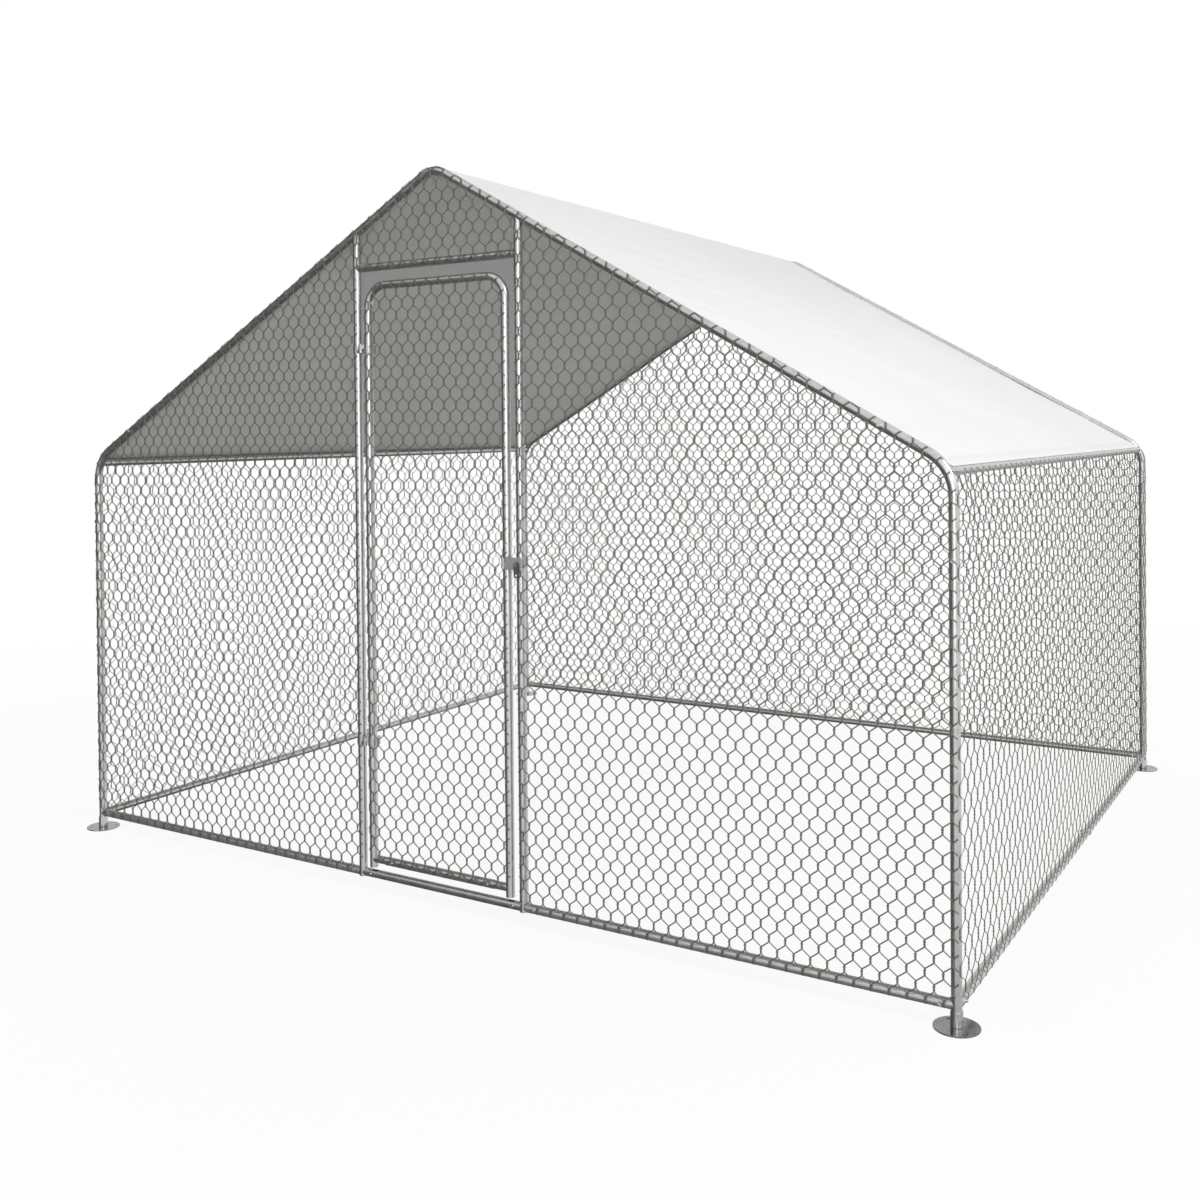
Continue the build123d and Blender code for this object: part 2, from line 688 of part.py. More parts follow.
def eye_band(height):
    """Hinge clamp on the door stile with an eye over the pintle."""
    high = height + BAND_HEIGHT / 2
    pin = Vector(HINGE_X, HINGE_Y, height)
    body = band(DOOR_LEFT, height)
    body += lug(DOOR_LEFT, HINGE_X, HINGE_Y, height + STEP_GAP / 2, high, PINTLE_DIA / 2 + EYE_WALL)
    body = bored(body, DOOR_LEFT, height)
    return body - rod(pin - Z_WAY, pin + Z_WAY * BAND_HEIGHT, PINTLE_DIA / 2 + RUN_GAP)


def latch_band():
    """Clamp on the door stile with two arms for the hasp pin."""
    body = band(DOOR_RIGHT, LATCH_HEIGHT)
    half_eye = HASP_EYE_HEIGHT / 2
    half_band = BAND_HEIGHT / 2
    for low, high in ((-half_band, -half_eye), (half_eye, half_band)):
        arm = (LATCH_HEIGHT + low, LATCH_HEIGHT + high)
        body += lug(DOOR_RIGHT, DOOR_RIGHT, HASP_Y, *arm, HASP_PIN_DIA / 2 + ARM_WALL)
    body = bored(body, DOOR_RIGHT, LATCH_HEIGHT)
    pin = Vector(DOOR_RIGHT, HASP_Y, LATCH_HEIGHT)
    reach = Z_WAY * BAND_HEIGHT
    return body - rod(pin - reach, pin + reach, HASP_PIN_DIA / 2 + FIT_GAP / 2)


def hasp_pin():
    """Pin through the latch arms with a head at each end."""
    pin = Vector(DOOR_RIGHT, HASP_Y, LATCH_HEIGHT)
    seat = Z_WAY * (BAND_HEIGHT / 2 + FIT_GAP)
    head = Z_WAY * STUD_HEAD_HEIGHT
    radius = HASP_PIN_DIA / 2
    body = rod(pin - seat - head, pin + seat + head, radius)
    for end in (-1, 1):
        body += rod(pin + seat * end, pin + (seat + head) * end, radius + ARM_WALL / 2)
    return body


def hasp():
    """Hinged plate with an eye on the pin and a notch, open below, for the turning tab."""
    pin = Vector(DOOR_RIGHT, HASP_Y, LATCH_HEIGHT)
    eye_half = Z_WAY * (HASP_EYE_HEIGHT / 2 - STEP_GAP / 2)
    eye_radius = HASP_PIN_DIA / 2 + HASP_EYE_WALL
    half_thick = Y_WAY * (HASP_THICK / 2)
    half_height = Z_WAY * (HASP_HEIGHT / 2)
    start = X_WAY * (HASP_PIN_DIA / 2 + ARM_WALL + PLATE_GAP)
    tip = X_WAY * (DOOR_POST_X - DOOR_RIGHT + HASP_TIP)
    body = rod(pin - eye_half, pin + eye_half, eye_radius)
    body += block(pin - eye_half - half_thick, pin + eye_half + half_thick + start)
    plate = block(pin + start - half_thick - half_height, pin + tip + half_thick + half_height)
    plate = fillet(plate.edges().filter_by(Axis.Y), TAB_GAP)
    stud = Vector(DOOR_POST_X, HASP_Y, STUD_Z)
    room = TAB_WIDTH / 2 + TAB_GAP
    notch = rod(stud - Y_WAY * HASP_THICK, stud + Y_WAY * HASP_THICK, room)
    notch += block(stud - X_WAY * room - Y_WAY * HASP_THICK - Z_WAY * HASP_HEIGHT, stud + X_WAY * room + Y_WAY * HASP_THICK)
    body += plate - notch
    return body - rod(pin - Z_WAY * BAND_HEIGHT, pin + Z_WAY * BAND_HEIGHT, HASP_PIN_DIA / 2 + RUN_GAP)


def stud_places():
    """Stud axis points: end of the boss, back and front of the tab."""
    axis = Vector(DOOR_POST_X, HASP_Y, STUD_Z)
    boss = axis + Y_WAY * (HASP_THICK / 2 + PLATE_GAP)
    back = axis - Y_WAY * (HASP_THICK / 2 + PLATE_GAP)
    return boss, back, back - Y_WAY * TAB_THICK


def stud_band():
    """Clamp on the latch-side door post with a headed stud for the turning tab."""
    boss, _, front = stud_places()
    root = Vector(DOOR_POST_X, -HALF_D, STUD_Z)
    head = front - Y_WAY * STEP_GAP / 2
    body = band(DOOR_POST_X, LATCH_HEIGHT) + rod(root, boss, STUD_BOSS_DIA / 2)
    body = bored(body, DOOR_POST_X, LATCH_HEIGHT)
    body += rod(boss, head, STUD_DIA / 2)
    return body + rod(head, head - Y_WAY * STUD_HEAD_HEIGHT, STUD_HEAD_DIA / 2)


def turning_tab():
    """Tab that hangs through the notch and turns across the hasp plate."""
    boss, back, front = stud_places()
    low = Z_WAY * -TAB_LENGTH
    body = rod(back, front, TAB_WIDTH / 2) + rod(back + low, front + low, TAB_WIDTH / 2)
    body += block(front + low - X_WAY * (TAB_WIDTH / 2), back + X_WAY * (TAB_WIDTH / 2))
    body += rod(boss - Y_WAY * (STEP_GAP / 2), back, HUB_DIA / 2)
    body -= rod(boss + Y_WAY, front - Y_WAY, STUD_DIA / 2 + RUN_GAP)
    return body - rod(back + low + Y_WAY, front + low - Y_WAY, TAB_HOLE_DIA / 2)


# Door


def door_hoop():
    """Bent door frame with the stubs of the bottom bar."""
    corners = [(DOOR_LEFT, DOOR_FOOT), (DOOR_LEFT, DOOR_TOP), (DOOR_RIGHT, DOOR_TOP), (DOOR_RIGHT, DOOR_FOOT)]
    outer, inner = bent_bars([Vector(x, -HALF_D, z) for x, z in corners], DOOR_BEND)
    joints = [door_bar_joint(side) for side in SIDES.values()]
    for joint in joints:
        outer += rod(joint.root - joint.way * (DOOR_BAR_NECK + TUBE_R), joint.root, STUB_R)
    return welded_stubs(outer, inner, joints)


def door_bottom_bar():
    """Bottom tube of the door."""
    left, right = [door_bar_joint(side) for side in SIDES.values()]
    return straight_tube(left.root, right.root, [left, right])


def pieces():
    """Every piece of the pen by name."""
    made = {}
    for side_name, side in SIDES.items():
        for end_name, end in ENDS.items():
            place = f"{end_name}_{side_name}"
            made[f"foot_{place}"] = foot(side, end)
            made[f"post_{place}"] = corner_post(side, end)
            made[f"eave_bend_{place}"] = eave_piece(side, end)
            made[f"rafter_{place}"] = rafter(side, end)
        base = side_splice(side * HALF_W, RAIL_HEIGHT, side)
        eave = side_splice(side * EAVE_RAIL_X, EAVE_RAIL_Z, side)
        base_ends = [post_joints(side, end)[1] for end in ENDS.values()]
        eave_ends = [eave_rail_joint(side, end) for end in ENDS.values()]
        for end_name, body in rail_pair(*base_ends, base, True).items():
            made[f"base_rail_{side_name}_{end_name}"] = body
        for end_name, body in rail_pair(*eave_ends, eave, True).items():
            made[f"eave_rail_{side_name}_{end_name}"] = body
        made[f"base_rail_front_{side_name}"] = front_rail(side)
        made[f"base_rail_back_{side_name}"] = back_rails()[side_name]
        made[f"door_post_base_{side_name}"] = door_post_base(side)
        made[f"door_post_{side_name}"] = door_post(side)
        made[f"net_front_{side_name}"] = front_side_net(side)
        made[f"net_{side_name}"] = wall_net(side)
    ridge_ends = [ridge_joint(end) for end in ENDS.values()]
    ridge = side_splice(0, RIDGE_RAIL_Z, 1)
    for end_name, body in rail_pair(*ridge_ends, ridge, False).items():
        made[f"ridge_rail_{end_name}"] = body
    for end_name, end in ENDS.items():
        made[f"apex_bend_{end_name}"] = apex_piece(end)
    made["door_sill"] = door_sill()
    made["door_header"] = door_header()
    made["net_front_top"] = front_top_net()
    made["net_back"] = back_net()
    made["roof_cover"] = roof_cover()
    made["joint_bolts"] = Compound([joint_bolt(joint).solid() for joint in frame_joints()])
    hinges = (HINGE_LOWER, HINGE_UPPER)
    made["hinge_pintle_bands"] = Compound([pintle_band(height).solid() for height in hinges])
    made["latch_stud_band"] = stud_band()
    post_clamps = [(-DOOR_POST_X, HINGE_LOWER), (-DOOR_POST_X, HINGE_UPPER), (DOOR_POST_X, LATCH_HEIGHT)]
    made["post_clamp_bolts"] = Compound([clamp_bolt(*place).solid() for place in post_clamps])
    made["door_hoop"] = door_hoop()
    made["door_bottom_bar"] = door_bottom_bar()
    made["door_net"] = door_net()
    made["door_bolts"] = Compound([joint_bolt(door_bar_joint(side)).solid() for side in SIDES.values()])
    made["hinge_eye_bands"] = Compound([eye_band(height).solid() for height in hinges])
    made["latch_band"] = latch_band()
    made["hasp_pin"] = hasp_pin()
    door_clamps = [(DOOR_LEFT, HINGE_LOWER), (DOOR_LEFT, HINGE_UPPER), (DOOR_RIGHT, LATCH_HEIGHT)]
    made["door_clamp_bolts"] = Compound([clamp_bolt(*place).solid() for place in door_clamps])
    made["hasp"] = hasp()
    made["turning_tab"] = turning_tab()
    return made


for name, body in pieces().items():
    export_step(body, f"parts/{name}.step")
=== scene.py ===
"""Looks of a walk-in poultry pen: wire netting, roof sheet, galvanised tube, studio and camera.

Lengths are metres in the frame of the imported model: X runs across the door gable, Y from the door
gable to the back gable, and Z up from the ground.
"""

import json
import logging
import math
from collections.abc import Iterable
from dataclasses import dataclass, field
from enum import Enum
from typing import Any, ClassVar

import bmesh
import bpy
import numpy as np
from mathutils import Matrix, Vector, noise

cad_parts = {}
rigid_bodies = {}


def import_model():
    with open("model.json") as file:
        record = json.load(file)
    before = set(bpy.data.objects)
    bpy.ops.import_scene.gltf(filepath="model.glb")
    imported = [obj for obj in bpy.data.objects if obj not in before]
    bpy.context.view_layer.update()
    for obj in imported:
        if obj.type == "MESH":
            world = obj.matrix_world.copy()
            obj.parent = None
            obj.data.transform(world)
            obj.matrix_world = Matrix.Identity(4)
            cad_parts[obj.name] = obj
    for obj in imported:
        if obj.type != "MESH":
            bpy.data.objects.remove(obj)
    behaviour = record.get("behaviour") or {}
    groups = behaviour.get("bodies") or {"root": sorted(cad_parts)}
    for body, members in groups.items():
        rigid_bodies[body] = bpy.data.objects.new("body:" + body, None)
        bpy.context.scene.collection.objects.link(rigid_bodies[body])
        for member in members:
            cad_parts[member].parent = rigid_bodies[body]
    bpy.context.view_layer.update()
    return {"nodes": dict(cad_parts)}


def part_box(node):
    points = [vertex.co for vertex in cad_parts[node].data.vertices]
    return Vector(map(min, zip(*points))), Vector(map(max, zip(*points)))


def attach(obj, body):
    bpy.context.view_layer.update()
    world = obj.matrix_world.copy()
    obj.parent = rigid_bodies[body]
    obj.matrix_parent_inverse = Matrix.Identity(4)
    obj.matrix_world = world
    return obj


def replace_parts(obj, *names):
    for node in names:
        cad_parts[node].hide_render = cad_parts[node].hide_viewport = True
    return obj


for leftover in list(bpy.data.objects):
    bpy.data.objects.remove(leftover)
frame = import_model()
LOG = logging.getLogger("pen")
SAME_PLACE = 1e-6  # points of a solid or a sheet that lie nearer than this are one
CUT_SLACK = 1e-7  # of the cuts through netting
MIX_FACTOR, MIX_FIRST, MIX_SECOND, MIX_RESULT = 0, 6, 7, 2  # a Mix node's sockets for colours

Colour = tuple[float, float, float]


class Slot(Enum):
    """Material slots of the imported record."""

    WIRE = "net_wire"
    COVER = "cover_sheet"


class Body(Enum):
    """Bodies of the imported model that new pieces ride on."""

    FRAME = "frame"
    DOOR = "door"


class Wall(Enum):
    """Sides of the pen, each with its way to the right and its way out, seen from outside."""

    FRONT = ((1, 0, 0), (0, -1, 0))
    BACK = ((-1, 0, 0), (0, 1, 0))
    LEFT = ((0, -1, 0), (-1, 0, 0))
    RIGHT = ((0, 1, 0), (1, 0, 0))

    @property
    def right(self) -> Vector:
        """Unit vector to the right along the wall."""
        return Vector(self.value[0])

    @property
    def out(self) -> Vector:
        """Unit vector out of the pen."""
        return Vector(self.value[1])


# Shader graphs


@dataclass
class Signal:
    """A shader value. Arithmetic on it adds Math nodes to its graph."""

    graph: "Graph"
    socket: bpy.types.NodeSocket

    def _math(self, operation: str, first: "Signal | float", second: "Signal | float") -> "Signal":
        """Adds one Math node."""
        return self.graph.out("ShaderNodeMath", {"operation": operation}, {0: first, 1: second})

    def __add__(self, other: "Signal | float") -> "Signal":
        """Sum."""
        return self._math("ADD", self, other)

    __radd__ = __add__

    def __sub__(self, other: "Signal | float") -> "Signal":
        """Difference."""
        return self._math("SUBTRACT", self, other)

    def __rsub__(self, other: "Signal | float") -> "Signal":
        """Difference, with this value taken away."""
        return self._math("SUBTRACT", other, self)

    def __mul__(self, other: "Signal | float") -> "Signal":
        """Product."""
        return self._math("MULTIPLY", self, other)

    __rmul__ = __mul__

    def __lt__(self, other: "Signal | float") -> "Signal":
        """1 where this value is the lower one, 0 elsewhere."""
        return self._math("LESS_THAN", self, other)

    def __gt__(self, other: "Signal | float") -> "Signal":
        """1 where this value is the higher one, 0 elsewhere."""
        return self._math("GREATER_THAN", self, other)

    def __abs__(self) -> "Signal":
        """Size without sign."""
        return self._math("ABSOLUTE", self, 0.0)

    def sine(self) -> "Signal":
        """Sine of the value in radians."""
        return self._math("SINE", self, 0.0)

    def highest(self, other: "Signal | float") -> "Signal":
        """The higher of two values."""
        return self._math("MAXIMUM", self, other)


@dataclass
class Graph:
    """Node tree of a material or a world."""

    tree: bpy.types.NodeTree

    @classmethod
    def fresh(cls, owner: "bpy.types.Material | bpy.types.World") -> "Graph":
        """Empties the owner's node tree.

        Args:
            owner: Material or world that gets the nodes.

        Returns:
            The graph of that owner.
        """
        owner.use_nodes = True
        owner.node_tree.nodes.clear()
        return cls(owner.node_tree)

    def node(self, kind: str, settings: dict[str, Any], sockets: dict[Any, Any]) -> bpy.types.Node:
        """Adds a node.

        Args:
            kind: Blender's type of the node.
            settings: Properties that are set first.
            sockets: Values or signals by the socket's name or place.

        Returns:
            The new node.
        """
        made = self.tree.nodes.new(kind)
        for name, value in settings.items():
            setattr(made, name, value)
        for name, value in sockets.items():
            if isinstance(value, Signal):
                self.tree.links.new(value.socket, made.inputs[name])
            else:
                made.inputs[name].default_value = value
        return made

    def out(self, kind: str, settings: dict[str, Any], sockets: dict[Any, Any], name: Any = 0) -> Signal:
        """Adds a node and gives one of its outputs.

        Args:
            kind: Blender's type of the node.
            settings: Properties that are set first.
            sockets: Values or signals by the socket's name or place.
            name: Name or place of the output.

        Returns:
            The output as a signal.
        """
        return Signal(self, self.node(kind, settings, sockets).outputs[name])

    def place(self) -> Signal:
        """Object coordinates, which are the model's own metres."""
        return self.out("ShaderNodeTexCoord", {}, {}, "Object")

    def axis(self, vector: Signal, index: int) -> Signal:
        """One value of a vector: 0, 1 or 2 for X, Y or Z."""
        return self.out("ShaderNodeSeparateXYZ", {}, {0: vector}, index)

    def cloud(self, scale: float, detail: float, vector: Signal | None = None) -> Signal:
        """Noise from 0 to 1.

        Args:
            scale: Waves for each metre.
            detail: Number of finer octaves.
            vector: Place to read; the object's own by default.

        Returns:
            The noise.
        """
        where = vector or self.place()
        return self.out("ShaderNodeTexNoise", {}, {"Vector": where, "Scale": scale, "Detail": detail})

    def mixed(self, share: Signal, low: Colour, high: Colour) -> Signal:
        """Colour between two colours.

        Args:
            share: 0 gives low and 1 gives high.
            low: First colour.
            high: Second colour.

        Returns:
            The mixed colour.
        """
        sockets = {MIX_FACTOR: share, MIX_FIRST: (*low, 1.0), MIX_SECOND: (*high, 1.0)}
        return self.out("ShaderNodeMix", {"data_type": "RGBA"}, sockets, MIX_RESULT)

    def ramp(self, value: Signal, low: float, high: float) -> Signal:
        """Smooth step.

        Args:
            value: Value that is read.
            low: Where the step starts.
            high: Where it ends.

        Returns:
            0 up to low, 1 from high on.
        """
        sockets = {"Value": value, "From Min": low, "From Max": high}
        return self.out("ShaderNodeMapRange", {"interpolation_type": "SMOOTHSTEP"}, sockets)

    def bump(self, height: Signal, strength: float, distance: float) -> Signal:
        """Surface normal of a small relief.

        Args:
            height: Relief from 0 to 1.
            strength: Share of the relief that shows.
            distance: Height of the relief in metres.

        Returns:
            The normal.
        """
        sockets = {"Height": height, "Strength": strength, "Distance": distance}
        return self.out("ShaderNodeBump", {}, sockets, "Normal")

    def surface(self, sockets: dict[str, Any]) -> None:
        """Ends a material in one Principled shader with the given sockets."""
        shader = self.out("ShaderNodeBsdfPrincipled", {}, sockets)
        self.node("ShaderNodeOutputMaterial", {}, {"Surface": shader})


# Finishes


@dataclass(frozen=True)
class ZincFinish:
    """Galvanised or plated steel with a faint spangle, dull patches and fine grain."""

    name: str
    dark: Colour
    light: Colour
    metallic: float
    roughness: tuple[float, float]
    spangle: float  # spangles for each metre
    spangle_tone: float = 0.45  # share of the tone; the dull patches have the rest
    spangle_gloss: float = 0.05  # roughness that it adds
    patches: float = 9.0  # dull patches for each metre
    grain: float = 900.0  # grains for each metre
    grain_share: float = 0.6  # of the relief; the spangle has the rest
    relief: float = 0.00004
    relief_shown: float = 0.35
    plain_share: float = 1.0  # share of the range from dark to light that the metal's own tone takes; below the painted light's height the rest is left out, as painted shade
    painted_light_height: tuple[float, float] = (0.0, 1.0)  # where the painted light starts and ends, up from the ground: above it the metal is painted brighter

    def material(self) -> bpy.types.Material:
        """Makes the material.

        Returns:
            The new material.
        """
        made = bpy.data.materials.new(self.name)
        graph = Graph.fresh(made)
        sockets = {"Vector": graph.place(), "Scale": self.spangle}
        spangle = graph.out("ShaderNodeTexVoronoi", {}, sockets, "Color")
        flake = graph.out("ShaderNodeSeparateColor", {}, {"Color": spangle})
        dull = graph.cloud(self.patches, detail=3.0)
        grain = graph.cloud(self.grain, detail=2.0)
        relief = grain * self.grain_share + flake * (1 - self.grain_share)
        low, high = self.roughness
        graph.surface({
            "Base Color": graph.mixed(self._tone(graph, flake, dull), self.dark, self.light),
            "Metallic": self.metallic,
            "Roughness": dull * (high - low) + flake * self.spangle_gloss + low,
            "Normal": graph.bump(relief, self.relief_shown, self.relief),
        })
        return made

    def _tone(self, graph: Graph, flake: Signal, dull: Signal) -> Signal:
        """Tone of the metal, with painted shade below the painted light's height and painted light above
        it.

        Args:
            graph: Nodes of the material.
            flake: Tone of each spangle.
            dull: Tone of the dull patches.

        Returns:
            0 for the dark colour and 1 for the light one.
        """
        tone = flake * self.spangle_tone + dull * (1 - self.spangle_tone)
        if self.plain_share == 1:
            return tone
        painted_light = graph.ramp(graph.axis(graph.place(), 2), *self.painted_light_height)
        return tone * self.plain_share + painted_light * (1 - self.plain_share)


@dataclass(frozen=True)
class WireFinish:
    """Dull galvanised wire, darker where it has weathered."""

    name: str
    dark: Colour
    light: Colour
    metallic: float
    roughness: float
    patches: float = 14.0  # weathered patches for each metre
    patch_gloss: float = 0.15  # roughness that the light patches add

    def material(self) -> bpy.types.Material:
        """Makes the material.

        Returns:
            The new material.
        """
        made = bpy.data.materials.new(self.name)
        graph = Graph.fresh(made)
        weather = graph.cloud(self.patches, detail=4.0)
        graph.surface({
            "Base Color": graph.mixed(weather, self.dark, self.light),
            "Metallic": self.metallic,
            "Roughness": weather * self.patch_gloss + self.roughness,
        })
        return made


@dataclass(frozen=True)
class EnamelFinish:
    """Dark enamel, rubbed to bare steel in small spots."""

    name: str
    paint: Colour
    steel: Colour
    roughness: float
    spots: float = 160.0  # for each metre
    rubbed: float = 0.66  # noise from which the steel is bare
    steel_metallic: float = 0.8
    steel_gloss: float = 0.1  # roughness that the bare steel lacks
    peel: float = 700.0  # dimples of the paint for each metre
    peel_depth: float = 0.0001
    peel_shown: float = 0.25

    def material(self) -> bpy.types.Material:
        """Makes the material.

        Returns:
            The new material.
        """
        made = bpy.data.materials.new(self.name)
        graph = Graph.fresh(made)
        rub = graph.cloud(self.spots, detail=5.0) > self.rubbed
        orange_peel = graph.cloud(self.peel, detail=2.0)
        graph.surface({
            "Base Color": graph.mixed(rub, self.paint, self.steel),
            "Metallic": rub * self.steel_metallic,
            "Roughness": self.roughness - rub * self.steel_gloss,
            "Normal": graph.bump(orange_peel, self.peel_shown, self.peel_depth),
        })
        return made


@dataclass(frozen=True)
class SheetFinish:
    """Coated sheet of woven flat tape, with sewn hems. Its map holds metres along both threads."""

    name: str
    low: Colour
    high: Colour
    roughness: float
    half_length: float
    half_width: float
    hem: float
    plain_tone: float = 0.2  # between low and high, where nothing adds to it
    sheen: float = 0.08
    tape: float = 0.0026  # width of the woven tape
    tape_tone: float = 0.06
    tape_depth: float = 0.00005
    creases: float = 3.0  # for each metre
    crease_depth: float = 0.0004
    stains: float = 1.2  # for each metre
    stain_tone: float = 0.8
    stain_gloss: float = 0.12  # roughness that they add
    stitch: float = 0.007  # length of a stitch and its gap
    stitch_start: float = -0.3  # sine along the seam from which there is thread
    stitch_place: float = 0.85  # of the hem, from its edge
    stitch_tone: float = 0.3
    stitch_depth: float = 0.0002
    thread: float = 0.0008  # half the width
    painted_ridge_shade: float = 0.6  # painted shade: the sheet is painted darker at the ridge
    painted_ridge_shade_reach: float = 1.1  # reach of that painted shade down the slope
    wrinkle: float = 0.012  # depth
    wrinkle_waves: tuple[float, float] = (13.0, 1.6)  # for each metre across and along the wrinkles
    wrinkle_slant: float = 0.24  # fall down the slope for each metre along the pen
    wrinkle_patches: float = 1.7  # for each metre
    patch_edge: tuple[float, float] = (0.34, 0.56)  # noise where a patch of wrinkles starts and is full

    def material(self) -> bpy.types.Material:
        """Makes the material.

        Returns:
            The new material.
        """
        made = bpy.data.materials.new(self.name)
        graph = Graph.fresh(made)
        cloth = graph.out("ShaderNodeUVMap", {"uv_map": RoofSheet.MAP}, {})
        along, across = (graph.axis(cloth, index) for index in (0, 1))
        turns = math.pi / self.tape
        weave = (along * turns).sine() * (across * turns).sine()
        crease = graph.cloud(self.creases, detail=5.0, vector=cloth)
        stain = graph.cloud(self.stains, detail=4.0, vector=cloth)
        # painted shade: the sheet's colour darkens towards the ridge, fading out down the slope
        painted_ridge_shade = (1.0 - graph.ramp(abs(along), 0.0, self.painted_ridge_shade_reach)) * self.painted_ridge_shade
        seam = self._seam(along, across)
        relief = self._wrinkles(graph, along, across) + weave * self.tape_depth
        relief = relief + crease * self.crease_depth - seam * self.stitch_depth
        tone = stain * self.stain_tone + weave * self.tape_tone
        tone = tone - seam * self.stitch_tone - painted_ridge_shade + self.plain_tone
        graph.surface({
            "Base Color": graph.mixed(tone, self.low, self.high),
            "Roughness": self.roughness + stain * self.stain_gloss,
            "Sheen Weight": self.sheen,
            "Normal": graph.bump(relief, strength=1.0, distance=1.0),
        })
        return made

    def _wrinkles(self, graph: Graph, along: Signal, across: Signal) -> Signal:
        """Patches of long, shallow wrinkles that run along the pen.

        Args:
            graph: Nodes of the material.
            along: Metres from the ridge.
            across: Metres from the middle of the pen.

        Returns:
            Height in metres.
        """
        steep, long = self.wrinkle_waves
        place = {0: (along - across * self.wrinkle_slant) * steep, 1: across * long}
        waves = graph.cloud(1.0, detail=2.0, vector=graph.out("ShaderNodeCombineXYZ", {}, place))
        patches = graph.ramp(graph.cloud(self.wrinkle_patches, detail=1.0), *self.patch_edge)
        return waves * patches * self.wrinkle

    def _seam(self, along: Signal, across: Signal) -> Signal:
        """Marks the stitches along the four hems.

        Args:
            along: Metres from the ridge.
            across: Metres from the middle of the pen.

        Returns:
            1 on a stitch, 0 elsewhere.
        """
        rows = []
        for run, other, half in ((along, across, self.half_width), (across, along, self.half_length)):
            line = abs(abs(other) - (half - self.hem * self.stitch_place)) < self.thread
            rows.append(line * ((run * (2 * math.pi / self.stitch)).sine() > self.stitch_start))
        return rows[0].highest(rows[1])


NET_WIRE = WireFinish(
    "netting_wire", (0.145, 0.165, 0.12), (0.21, 0.232, 0.18), metallic=0.35, roughness=0.38
)


class Finish(Enum):
    """Finishes of the carried-over solids."""

    TUBE = ZincFinish(
        "galvanised_tube", (0.46, 0.465, 0.46), (0.64, 0.645, 0.64),
        metallic=0.95, roughness=(0.20, 0.32), spangle=85.0,
    )
    RAIL = ZincFinish(
        "weathered_tube", (0.46, 0.465, 0.46), (0.64, 0.645, 0.64),
        metallic=0.82, roughness=(0.20, 0.32), spangle=85.0,
    )
    # painted shade on the foot's plate and painted light on its sleeve, set by height
    FOOT = ZincFinish(
        "galvanised_foot", (0.22, 0.225, 0.225), (0.62, 0.625, 0.625),
        metallic=0.95, roughness=(0.12, 0.24), spangle=60.0,
        plain_share=0.35, painted_light_height=(0.0032, 0.007),
    )
    BOLT = ZincFinish(
        "plated_bolt", (0.58, 0.58, 0.57), (0.78, 0.78, 0.77),
        metallic=0.95, roughness=(0.16, 0.28), spangle=240.0,
    )
    CLAMP = ZincFinish(
        "plated_clamp", (0.36, 0.365, 0.36), (0.52, 0.525, 0.52),
        metallic=0.9, roughness=(0.24, 0.38), spangle=160.0,
    )
    HASP = ZincFinish(
        "plated_hasp", (0.33, 0.33, 0.33), (0.45, 0.45, 0.45),
        metallic=0.45, roughness=(0.34, 0.48), spangle=160.0,
    )
    TAB = EnamelFinish("tab_enamel", (0.075, 0.075, 0.077), (0.30, 0.30, 0.30), roughness=0.42)


# Sizes read from the frame


def middle(node: str) -> Vector:
    """Centre of a node's box."""
    low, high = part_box(node)
    return (low + high) / 2


def smooth(share: np.ndarray) -> np.ndarray:
    """Smooth step of a share, kept from 0 to 1."""
    kept = np.clip(share, 0.0, 1.0)
    return kept**2 * (3 - 2 * kept)


@dataclass(frozen=True)
class PenSizes:
    """Centre lines of the tubes that carry the netting and the cover."""

    tube: float = 0.0125  # radius
    eave: float = 1.275  # where the centre lines of post and slope meet
    ridge: float = 2.120  # where the centre lines of the slopes meet
    eave_bend: float = 0.115
    apex_bend: float = 0.080
    door_bend: float = 0.062

    @property
    def half_width(self) -> float:
        """Corner posts from the middle, across the gable."""
        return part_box("post_front_right")[1].x - self.tube

    @property
    def half_depth(self) -> float:
        """Corner posts from the middle, along the pen."""
        return -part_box("post_front_right")[0].y - self.tube

    @property
    def rail(self) -> float:
        """Height of the base rails."""
        return middle("door_sill").z

    @property
    def pitch(self) -> float:
        """Roof pitch in radians."""
        return math.atan2(self.ridge - self.eave, self.half_width)

    @property
    def eave_turn(self) -> float:
        """Turn of an eave bend in radians."""
        return math.pi / 2 - self.pitch

    @property
    def bend_start(self) -> float:
        """Height where an eave bend leaves the post."""
        return self.eave - self.eave_bend * math.tan(self.eave_turn / 2)


def island_boxes(node: str, behind: float = math.inf) -> list[tuple[Vector, Vector]]:
    """Finds the separate solids of a node.

    Args:
        node: Name of the CAD node.
        behind: Points further back along Y than this don't count.

    Returns:
        Lowest and highest corner of each solid.
    """
    bm = bmesh.new()
    bm.from_mesh(frame["nodes"][node].data)
    bmesh.ops.remove_doubles(bm, verts=bm.verts, dist=SAME_PLACE)
    waiting = set(bm.verts)
    found = []
    while waiting:
        edge = [waiting.pop()]
        places = []
        while edge:
            vert = edge.pop()
            if vert.co.y < behind:
                places.append(vert.co.copy())
            near = {e.other_vert(vert) for e in vert.link_edges} & waiting
            waiting -= near
            edge.extend(near)
        found.append((Vector(map(min, *places)), Vector(map(max, *places))))
    bm.free()
    return found


def shown_piece(name: str, mesh: bpy.types.Mesh, body: Body) -> bpy.types.Object:
    """Links a mesh as a piece of the object.

    Args:
        name: Name of the piece.
        mesh: Its mesh, in the model's frame.
        body: Body that it rides on.

    Returns:
        The new object.
    """
    piece = bpy.data.objects.new(name, mesh)
    bpy.context.scene.collection.objects.link(piece)
    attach(piece, body.value)
    LOG.info("%s: %d faces", name, len(mesh.polygons))
    return piece


# Netting


